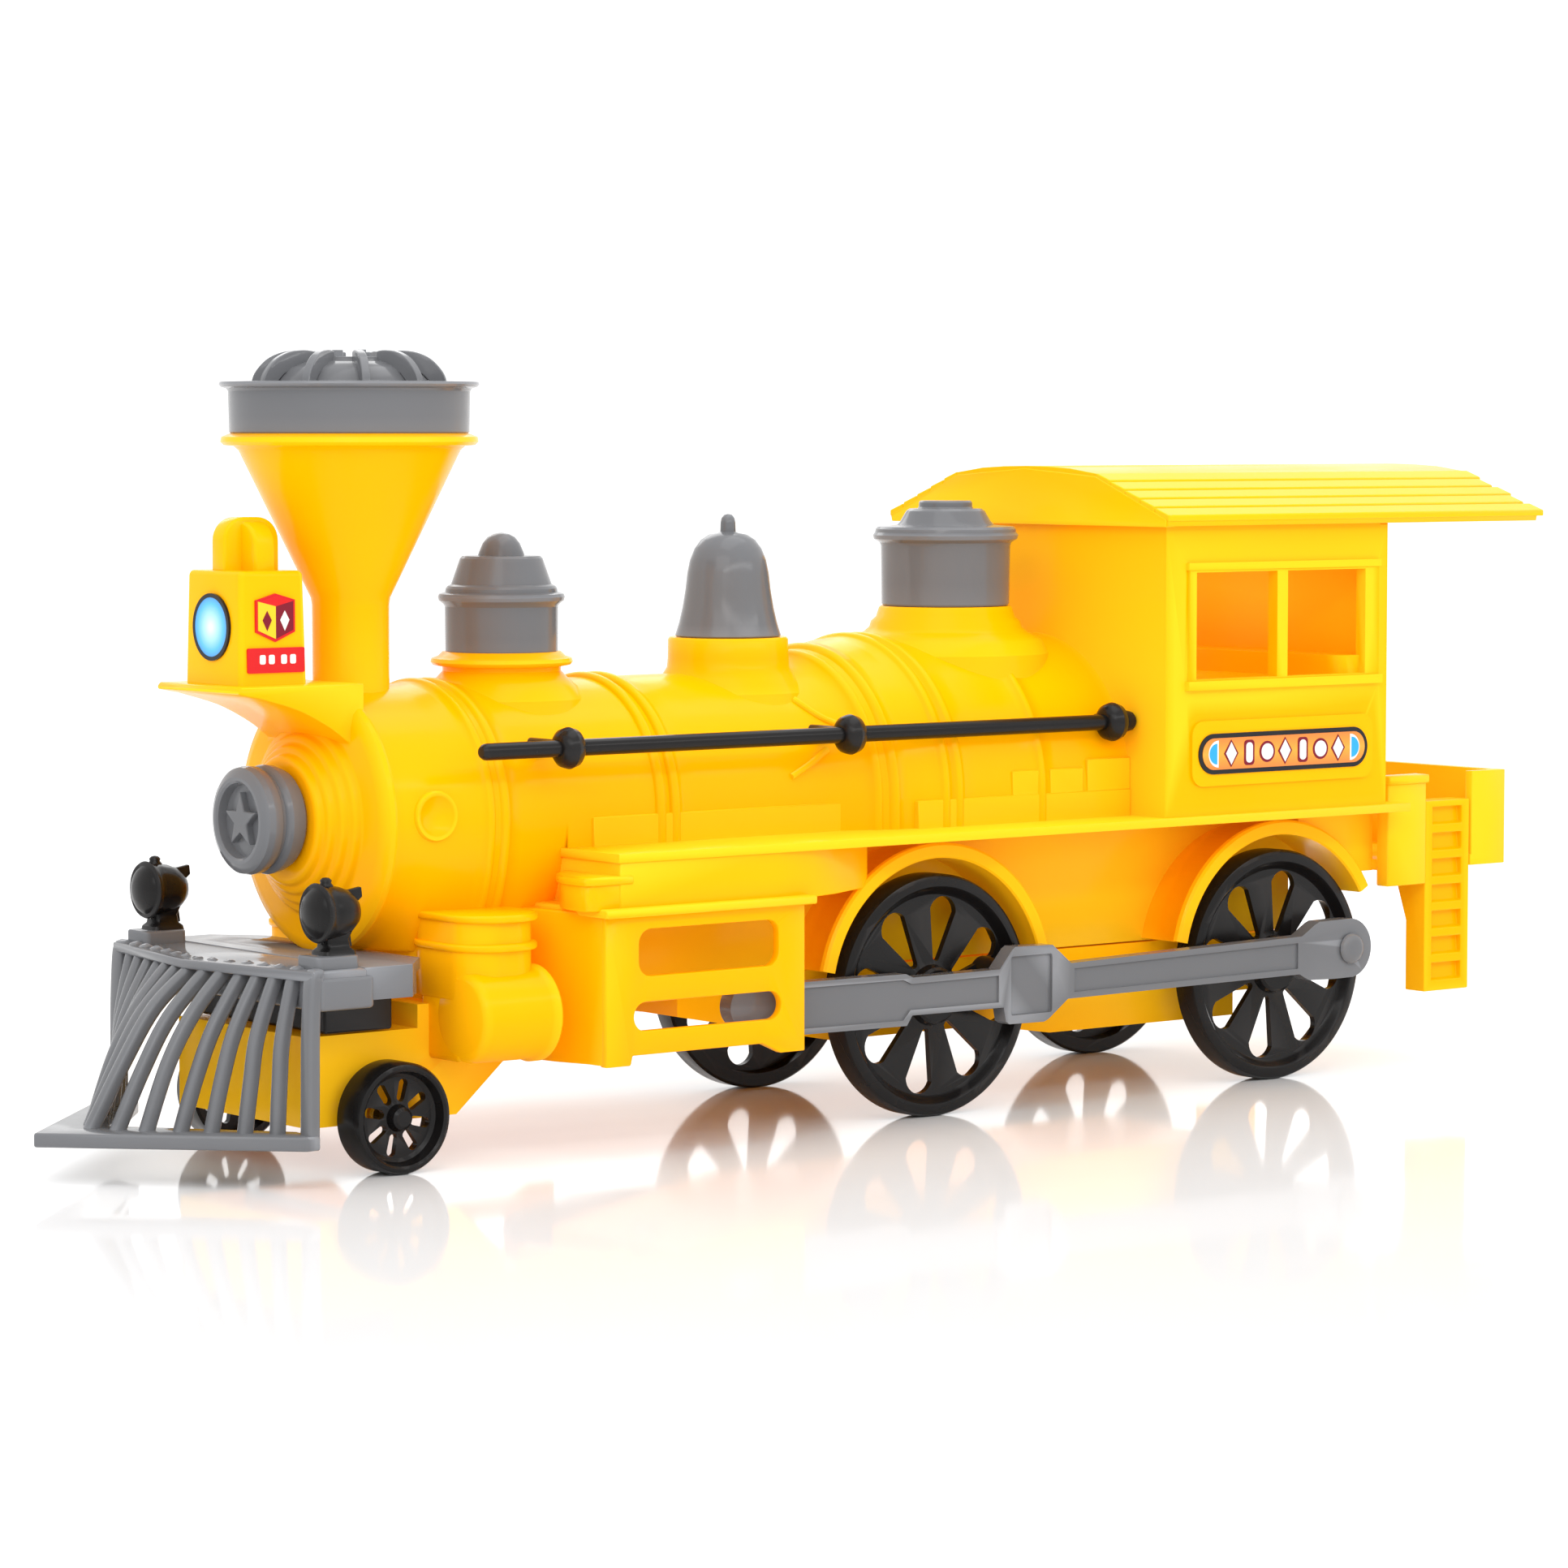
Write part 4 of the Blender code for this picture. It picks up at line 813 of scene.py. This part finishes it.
# ---- chassis
def mudguard(centre, side, angles, inner_r):
    """One swept ring: a thin band towards the skirt and a wide rounded lip at the outside."""
    sections = []
    for angle in angles:
        c, s = cos(radians(angle)), sin(radians(angle))
        profile = [
            (SKIRT_X - 0.8, inner_r), (28.4, inner_r), (28.7, inner_r + 0.3), (28.7, inner_r + 2.2),
            (28.3, inner_r + 2.6), (27.4, inner_r + 2.6), (27.0, inner_r + 2.2), (26.9, inner_r + 1.7),
            (SKIRT_X - 0.8, inner_r + 1.7)
        ]
        sections.append([(side * x, centre[0] + r * c, centre[1] + r * s) for x, r in profile])
    return loft(sections)


def chassis():
    """Running boards, skirts, mudguards and the stepped wall over the cylinders."""
    shell = box(-SKIRT_X, SKIRT_X, -87.0, 117.0, 26.3, 50.0)
    inside = SKIRT_X - WALL
    cut(shell, box(-inside, inside, -85.2, 115.0, 25.0, 48.5))
    for side in (1, -1):
        join(shell, box(*span(side, inside + 0.5, 37.0), -63.0, 117.0, 48.5, 50.0))
    cut(shell, box(-60, 60, 104.5, 118.0, 20, 38.0))
    cut(shell, hole("y", (0, 0, AXIS_Z), BOILER_R - 0.6, -91.0, -60.5, 64))
    extras = []
    for axle_y, start, end in ((FRONT_AXLE_Y, 14, 168), (REAR_AXLE_Y, 30, 168)):
        steps = 44
        angles = [start + (end - start) * i / steps for i in range(steps + 1)]
        for side in (1, -1):
            extras.append(mudguard((axle_y - 0.6, DRIVER_R + 0.6), side, angles, 23.3))
    for side in (1, -1):
        # the wall under the board: flush by the cylinders, it sweeps in to meet the front mudguard
        wall = [
            (-62.6, 36.7), (-30.0, 36.6), (-22.0, 35.8), (-15.0, 33.4), (-9.0, 30.2), (-4.0, 28.0),
            (-4.0, 17.0), (-62.6, 17.0)
        ]
        lower = [
            (-60.0, 36.5), (-67.2, 36.4), (-68.6, 35.6), (-69.0, 34.0), (-68.7, 30.0), (-67.0, 26.0),
            (-63.6, 22.6), (-60.0, 20.0)
        ]
        lip = [
            (-60.0, 37.0), (-67.4, 36.9), (-69.1, 36.0), (-69.5, 34.2), (-69.2, 29.8), (-67.4, 25.6),
            (-63.8, 22.0), (-60.0, 19.4)
        ]
        parts = ((wall, 40.6, 49.2, 0.3), (lower, 40.8, 45.6, 0.4), (lip, 45.0, 46.4, 0.35))
        for outline, z0, z1, radius in parts:
            extras.append(moulding(prism([(side * x, y) for y, x in outline], "z", z0, z1), radius, 3))
        # the wall behind the rear mudguard
        rear = [(98.6, 49.0), (117.6, 49.0), (117.6, 36.9), (110.8, 36.9), (104.6, 42.4), (98.6, 44.8)]
        extras.append(prism(rear, "x", *span(side, SKIRT_X - 1.0, 26.6)))
    piece(gather(moulding(shell, 0.35, 3, 35), *extras), "running_boards", YELLOW, ["chassis_shell"], 34)


def tray():
    top = 26.0
    outline = [
        (-37, top), (-37, 20), (-4, 13.6), (30, 13.6), (46, 11.2), (90.6, 11.2), (90.6, 15.6),
        (98, 15.6), (104.2, 20.5), (104.2, top)
    ]
    shape = prism(outline, "x", -SKIRT_X, SKIRT_X)
    inner = [
        (-35.2, top + 1), (-35.2, 21.4), (-4, 15.4), (30, 15.4), (46, 13.0), (88.8, 13.0), (88.8, 15.0),
        (90.6, 15.0), (92.0, 10.0), (102.4, 10.0), (102.4, top + 1)
    ]
    cut(shape, prism(inner, "x", -SKIRT_X + WALL, SKIRT_X - WALL))
    for y in (FRONT_AXLE_Y, REAR_AXLE_Y):
        cut(shape, hole("x", (0, y, DRIVER_R), 1.8, -19, 19, 32))
    for y, floor in ((-30.0, 18.6), (50.0, 11.2)):
        join(shape, rod("z", (0, y, 0), 3.4, floor + 0.6, top - 0.05, 32))
        cut(shape, hole("z", (0, y, 0), 1.5, 5, top + 1, 24))
        cut(shape, hole("z", (0, y, 0), 2.7, 5, floor + 1.9, 32))
    piece(soften(shape, 0.3, 2, 35), "under_tray", YELLOW, ["base_plate"])


def cylinders():
    """Round steam cylinder under a valve chest with two flanges; its front is a soft flat-sided face."""
    for name, side in SIDES:
        cx, cz = side * 28.0, 24.4
        drum = [
            (0, -88.2), (6.1, -88.1), (7.0, -87.5), (7.4, -86.4), (7.45, -75.6), (7.9, -75.2),
            (7.9, -73.6), (7.5, -73.1), (0, -73.0)
        ]
        parts = [turned(drum, "y", (cx, 0, cz), 72)]
        face = rounded(*span(side, 16.8, 28.0), 17.1, 31.7, 1.4, 4)
        parts.append(moulding(prism(face, "y", -88.1, -73.1), 0.9, 4))
        chest = rounded(*span(side, 12.0, 31.4), -88.2, -73.8, 5.6, 10)
        parts.append(moulding(prism(chest, "z", 27.0, 40.4), 0.4))
        for reach, z0, z1 in ((32.7, 39.6, 40.9), (32.5, 34.9, 36.2)):
            flange = rounded(*span(side, 11.0, reach), -88.8, -72.6, 7.2, 10)
            parts.append(moulding(prism(flange, "z", z0, z1), 0.45, 4))
        piece(gather(*parts), f"steam_cylinder_{name}", YELLOW, [f"cylinder_{name}"], 34)


def guards():
    """Box over the crosshead: slotted side plate, front plate and a wide top flange."""
    for name, side in SIDES:
        front, back = -65.4, -24.4
        plate = [
            (front, 40.2), (front, 15.4), (front + 5, 15.4), (front + 5.4, 17.0), (back - 9, 17.0),
            (back - 5, 15.2), (back, 15.2), (back, 40.2)
        ]
        guard = prism(plate, "x", *span(side, 34.9, 36.6))
        x2, x3 = span(side, 33.5, 37.5)
        cut(guard, prism(rounded(-58.7, -29.9, 29.8, 37.5, 2.4, 8), "x", x2, x3))
        cut(guard, prism(rounded(-59.7, -29.4, 20.9, 25.6, 2.34, 10), "x", x2, x3))
        fore = [
            (36.4, front + 0.1), (36.4, front + 1.5), (SKIRT_X - 1, front - 1.5),
            (SKIRT_X - 1, front - 4.0), (26.0, front - 2.4), (32.0, front - 0.4)
        ]
        plates = [moulding(prism([(side * x, y) for x, y in fore], "z", 15.6, 40.4), 0.3)]
        lid = box(*span(side, SKIRT_X - 0.6, 38.3), front - 1.0, back + 1.4, 39.7, 41.2)
        plates.append(moulding(lid, 0.4))
        guard = gather(moulding(guard), *plates)
        piece(guard, f"guard_box_{name}", YELLOW, [f"crosshead_guard_{name}"], 34)


def pilot_frame():
    outline = [
        (-111.5, 22.2), (-111.5, 7.6), (-82.8, 7.6), (-73.2, 15.8), (-73.2, 26.0), (-90.3, 26.0),
        (-90.3, 22.2)
    ]
    shape = prism(outline, "x", -19.2, 19.2)
    inner = [
        (-109.7, 6), (-84.5, 6), (-75.0, 14), (-75.0, 24.2), (-88.5, 24.2), (-88.5, 20.4),
        (-109.7, 20.4)
    ]
    cut(shape, prism(inner, "x", -17.4, 17.4))
    cut(shape, hole("x", (0, PILOT_Y, PILOT_R), 1.8, -22, 22, 32))
    piece(soften(shape, 0.45, 3, 35), "truck_frame", YELLOW, ["pilot_frame"])


def front_end():
    """Buffer beam in two stepped blocks with lamp pads and a V-shaped brow, and the dark block behind it."""
    parts = []
    front = prism(rounded(-30.5, 30.5, -116.6, -105.6, 1.4, 4), "z", 27.6, 32.8)
    cut(front, box(-27, 27, -114.6, -100.0, 27, 31.2))
    parts.append(moulding(front, 0.6, 4))
    deck = mirrored([(30.0, -107.5), (30.2, -98.6), (29.4, -98.0), (22.5, -92.0)])
    rear = prism(deck, "z", 28.8, 34.0)
    cut(rear, hole("y", (0, 0, AXIS_Z), 22.0, -99.0, -80, 64))
    cut(rear, box(-26, 26, -108.6, -90.0, 27, 32.2))
    parts.append(moulding(rear, 0.45))
    brow = [
        (0, -122.6), (8.2, -121.2), (16.2, -119.8), (24.2, -118.4), (30.2, -117.4), (30.2, -107.2),
        (0, -107.2)
    ]
    parts.append(moulding(prism(mirrored(brow), "z", 32.3, 33.9)))
    for side in (1, -1):
        pad = rounded(*span(side, 22.6, 29.0), -115.6, -107.6, 1.0, 4)
        parts.append(moulding(prism(pad, "z", 32.4, 36.0), 0.4))
    piece(gather(*parts), "front_beam", GREY, ["buffer_beam"], 34)
    piece(soften(box(-20, 20, -108.5, -95.6, 22.5, 28.5), 0.5), "draw_block", BLACK, ["coupler_block"])


SLATS = (
    ((-120.9, 33.4), (-127.7, 26.5), (-133.8, 17.6), (-139.8, 7.4)),
    ((-120.5, 33.1), (-127.4, 25.3), (-132.6, 16.9), (-137.4, 7.4)),
    ((-120.0, 32.9), (-125.5, 26.1), (-130.3, 18.2), (-134.5, 7.4)),
    ((-119.1, 32.9), (-124.1, 24.3), (-127.6, 16.4), (-130.7, 7.4)),
    ((-118.6, 32.7), (-122.8, 24.0), (-125.3, 16.4), (-127.5, 7.4)),
    ((-118.1, 32.6), (-121.2, 23.6), (-122.5, 16.4), (-123.8, 7.4)),
    ((-117.4, 32.5), (-119.2, 23.2), (-119.8, 16.4), (-120.3, 7.4)),
    ((-116.9, 32.6), (-117.0, 24.0), (-117.1, 16.4), (-117.2, 7.4)),
)


def pilot():
    """Slats that lean out from under the brow to a V-shaped foot plate."""
    foot = [(0, -150.0), (30.2, -119.6), (30.8, -118.9), (30.8, -116.4), (24.0, -116.4), (0, -136.0)]
    plate = soften(prism(mirrored(foot), "z", 5.9, 8.2), 0.4)
    slats = []
    for i in range(-7, 8):
        post = abs(i) == 7
        x = copysign(28.9, i) if post else 4.05 * i
        width, depth = (3.1, 2.2) if post else (2.15, 2.3)
        path = SLATS[abs(i)]
        path = smooth_path([(path[0][0] + 1.4, 33.1), (path[0][0] + 0.4, 32.4), *path[1:]], 6)
        sections = []
        for k, (y, z) in enumerate(path):
            before, after = path[max(k - 1, 0)], path[min(k + 1, len(path) - 1)]
            along = Vector((0, after[0] - before[0], after[1] - before[1])).normalized()
            across = along.cross(Vector((1, 0, 0)))
            outline = rounded(-width / 2, width / 2, -depth / 2, depth / 2, 0.7, 3)
            sections.append([Vector((x + u, y, z)) + across * v for u, v in outline])
        slats.append(loft(sections))
    piece(gather(bake(plate), *slats), "slatted_pilot", GREY, ["cowcatcher"], 34)


def marker_lamps():
    """Bowl lamps with a domed glass in a rounded rim, a finned back and a stem on the beam."""
    for name, side in SIDES:
        x, y, z = side * 25.7, -109.5, 42.6
        drum = [
            (0, -5.9), (1.6, -5.8), (3.0, -5.3), (3.9, -4.6), (4.1, -4.3), (4.5, -4.5), (4.75, -4.1),
            (4.6, -3.5), (4.35, -3.2), (4.4, -2.4), (4.2, -1.4), (4.0, -0.2), (3.4, 1.4), (2.4, 2.6),
            (1.2, 3.2), (0, 3.3)
        ]
        lamp = turned(drum, "y", (x, y, z), 48)
        levels = ((35.6, 1.3), (36.6, 1.2), (37.1, 0.95), (38.4, 0.85), (39.6, 1.05))
        outline = rounded(-2.0, 2.0, -2.4, 2.4, 0.8, 4)
        stem = loft([[(x + u * w, y - 1.0 + v * w, h) for u, v in outline] for h, w in levels])
        knob = [(0, 45.8), (1.4, 45.8), (1.2, 46.9), (0.85, 47.3), (0.95, 47.7), (0.55, 48.1), (0, 48.2)]
        knob = turned(knob, "z", (x, y - 2.4, 0), 20)
        fin = [
            (y + 2.2, 43.2), (y + 4.2, 44.8), (y + 4.0, 46.4), (y + 1.6, 46.0), (y - 0.6, 46.6),
            (y - 0.6, 43.2)
        ]
        web = [(y - 3.0, 37.0), (y + 2.2, 37.0), (y + 1.8, 39.8), (y - 4.0, 39.8)]
        blades = [moulding(prism(shape, "x", x - 0.5, x + 0.5), 0.2, 2) for shape in (fin, web)]
        piece(gather(lamp, stem, knob, *blades), f"lamp_{name}", BLACK, [f"marker_lamp_{name}"], 34)


# ---- wheels and rods
def teardrop(near, far, half_width):
    """Outline along +u: a point near the hub that opens to a round end near the rim."""
    tip = 0.75
    end = arc((far - half_width, 0), half_width, -78, 78, 12)
    start = arc((near + tip, 0), tip, 102, 258, 6)
    return end + start


def wheel(side, y, radius, face, width, phase, hub_r, near, far, half_width, crank):
    big = radius > 15
    inner = face - width
    rim = radius - (2.3 if big else 1.2)
    dish = face - (1.6 if big else 2.4)
    web = dish - 1.1
    top = face + (0.4 if big else -0.3)
    profile = [
        (0, inner), (hub_r, inner), (hub_r, web), (rim - 0.6, web), (rim - 0.3, inner),
        (radius - 0.4, inner), (radius, inner + 0.4), (radius, face - 0.9),
        (radius - 0.35, face - 0.25), (radius - 0.9, face), (rim + 0.2, face), (rim - 0.2, face - 0.3),
        (rim - 0.7, dish + 0.5), (rim - 1.3, dish + 0.1), (hub_r + 1.2, dish),
        (hub_r + 0.3, dish + 0.3), (hub_r - 0.1, top - 0.4), (hub_r - 0.6, top), (0, top)
    ]
    disc = turned([(r, side * x) for r, x in profile], "x", (0, y, radius), 112)
    for i in range(8):
        angle = radians(phase + 45 * (i + 0.5))
        c, s = cos(angle), sin(angle)
        outline = [(y + u * c - v * s, radius + u * s + v * c) for u, v in teardrop(near, far, half_width)]
        cut(disc, prism(outline, "x", *span(side, inner - 1, face + 1)))
    if crank:
        pin_y = y + CRANK_THROW * cos(radians(CRANK_ANGLE))
        join(disc, rod("x", (0, pin_y, PIN_Z), 3.2, *span(side, web + 0.1, ROD_INNER - 0.6), 32, 0.25))
    if crank == "pin":
        join(disc, rod("x", (0, pin_y, PIN_Z), 2.0, *span(side, face - 1.5, ROD_INNER + 1.2), 24, 0.4))
    return soften(disc, 0.35, 3, 30)


def wheels():
    for name, side in SIDES:
        drivers = (
            ("front_driver", "front_drivers", FRONT_AXLE_Y, "pin"),
            ("rear_driver", "rear_drivers", REAR_AXLE_Y, "boss"),
        )
        for node, body, y, crank in drivers:
            made = wheel(
                side, y, DRIVER_R, DRIVER_FACE, DRIVER_WIDTH, CRANK_ANGLE, 5.0, 5.9, 17.2, 3.0, crank
            )
            piece(made, f"{node}_wheel_{name}", BLACK, [f"{node}_{name}"], body=body)
        made = wheel(side, PILOT_Y, PILOT_R, PILOT_FACE, PILOT_WIDTH, 10, 1.9, 2.6, 6.3, 0.85, "")
        piece(made, f"truck_wheel_{name}", BLACK, [f"pilot_wheel_{name}"], body="pilot_wheels")


def side_rods():
    """Coupling rod: a fore part, a square block with a sunken panel, a shank and the crank pin."""
    z = PIN_Z
    front_y = FRONT_AXLE_Y + CRANK_THROW * cos(radians(CRANK_ANGLE))
    boss_y = PIN_Y - CROSSHEAD_BACK
    outline = [
        (boss_y, 19.0), (-22.6, 17.3), (0.6, 17.1), (1.8, 18.8), (22.3, 18.7), (22.8, 16.2),
        (23.6, 15.7), (31.6, 15.6), (32.6, 16.0), (37.1, 19.2), (93.0, 19.7), (95.4, 18.5),
        (PIN_Y - 4.0, 18.3)
    ]
    outline += arc((PIN_Y, z), 5.4, -90, 90, 20)[1:]
    outline += [
        (98.0, 29.0), (97.0, 28.6), (93.6, 26.6), (37.8, 25.4), (34.6, 28.0), (33.5, 28.9),
        (25.0, 29.1), (24.2, 28.6), (21.4, 25.4), (2.0, 25.3), (0.4, 26.0), (-22.0, 26.1),
        (boss_y, 26.2)
    ]
    fore = [
        (-23.0, 18.3), (-0.2, 18.1), (1.4, 19.8), (21.2, 19.7), (21.2, 24.3), (1.6, 24.2), (-0.2, 25.0),
        (-23.0, 25.1)
    ]
    shank = [(38.6, 20.3), (92.6, 20.8), (92.6, 25.4), (38.6, 24.4)]
    panels = ((fore, 0.4), (rounded(24.0, 33.4, 17.2, 27.4, 0.4, 3), 0.6), (shank, 0.4))
    for name, side in SIDES:
        x0, x1 = span(side, ROD_INNER, ROD_OUTER)
        bar = prism(outline, "x", x0, x1)
        join(bar, rod("x", (0, boss_y, z - 0.9), 3.7, x0, x1, 48, 0.3))
        for panel, depth in panels:
            cut(bar, prism(panel, "x", *span(side, ROD_OUTER - depth, ROD_OUTER + 1)))
        cut(bar, hole("x", (0, front_y, z), 2.3, *span(side, ROD_INNER - 1, ROD_INNER + 1.7), 32))
        cut(bar, hole("x", (0, PIN_Y, z), 2.3, x0 - 1, x1 + 1, 32))
        bar = soften(bar, 0.2, 2, 30)
        piece(bar, f"rod_{name}_bar", GREY, [f"side_rod_{name}"], body=f"rod_{name}")
        head = [
            (0, 34.6), (1.4, 34.55), (2.2, 34.3), (2.6, 33.9), (2.75, 33.35), (2.0, 33.3), (2.0, 29.7),
            (0, 29.7)
        ]
        pin = turned([(r, side * x) for r, x in head], "x", (0, PIN_Y, z), 40)
        piece(pin, f"crank_pin_head_{name}", GREY, [f"crank_pin_{name}"], 34, "rear_drivers")


def carried_over():
    """CAD nodes whose shape is already right get their finish here."""
    turning = ["front_driver_axle", "rear_driver_axle", "pilot_wheel_axle", "flywheel"]
    finishes = (
        (WHITE, ["axle_gear", "compound_gear"]),
        (STEEL, turning + ["base_screw_1", "base_screw_2"]),
        (GREY, ["motor_housing_left", "motor_housing_right"]),
    )
    for finish, names in finishes:
        for name in names:
            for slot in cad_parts[name].material_slots:
                slot.material = finish


# ---- studio
def studio():
    world = bpy.data.worlds.new("studio")
    bpy.context.scene.world = world
    world.use_nodes = True
    background = world.node_tree.nodes["Background"].inputs
    background["Color"].default_value = (1.0, 1.0, 1.0, 1.0)
    background["Strength"].default_value = 1.25

    bm = bmesh.new()
    bmesh.ops.create_grid(bm, x_segments=1, y_segments=1, size=20000.0)
    floor = to_scene(bm, "floor")
    n = Nodes("floor_gloss")
    n.drive("Base Color", n.blend(n.noise(3.0, 2.0), (0.93, 0.93, 0.93), (0.9, 0.9, 0.905)))
    n.drive("Roughness", n.spread(n.noise(40.0, 3.0), 0.05, 0.09))
    n.shader.inputs["IOR"].default_value = 1.4
    floor.data.materials.append(n.material)

    lights = (
        ("key", (520, -760, 640), (0, -20, 60), 700, 420, 1.4),
        ("top", (60, 40, 760), (0, 10, 60), 900, 420, 1.6),
        ("rim", (-620, 260, 520), (0, 20, 60), 500, 400, 1.0),
        ("strip", (330, -60, 250), (0, -30, 70), 700, 30, 0.35),
        ("cab", (0, 84, 99), (0, 84, 60), 40, 30, 0.006),
    )
    for name, at, towards, width, height, power in lights:
        data = bpy.data.lights.new(name, "AREA")
        data.shape = "RECTANGLE"
        data.size, data.size_y = width * 0.001, height * 0.001
        data.energy = power
        obj = bpy.data.objects.new(name, data)
        obj.location = Vector(at) * 0.001
        obj.rotation_euler = (Vector(towards) - Vector(at)).to_track_quat("-Z", "Y").to_euler()
        bpy.context.scene.collection.objects.link(obj)

    azimuth, elevation, distance = radians(51.72), radians(4.04), 883.0
    level = cos(elevation)
    back = Vector((sin(azimuth) * level, -cos(azimuth) * level, sin(elevation)))
    camera = bpy.data.objects.new("camera", bpy.data.cameras.new("camera"))
    camera.location = (Vector((0, 0, 56.55)) + back * distance) * 0.001
    camera.rotation_euler = back.to_track_quat("Z", "Y").to_euler()
    camera.data.lens = 116.2
    camera.data.sensor_width = 36.0
    camera.data.clip_end = 100.0
    bpy.context.scene.collection.objects.link(camera)
    bpy.context.scene.camera = camera
    bpy.context.scene.view_settings.view_transform = "Standard"


boiler()
smokebox()
door_plug()
chimney()
domes()
headlamp()
handrails()
cab()
roof()
plates()
platform()
ladders()
chassis()
tray()
cylinders()
guards()
pilot_frame()
front_end()
pilot()
marker_lamps()
wheels()
side_rods()
carried_over()
studio()
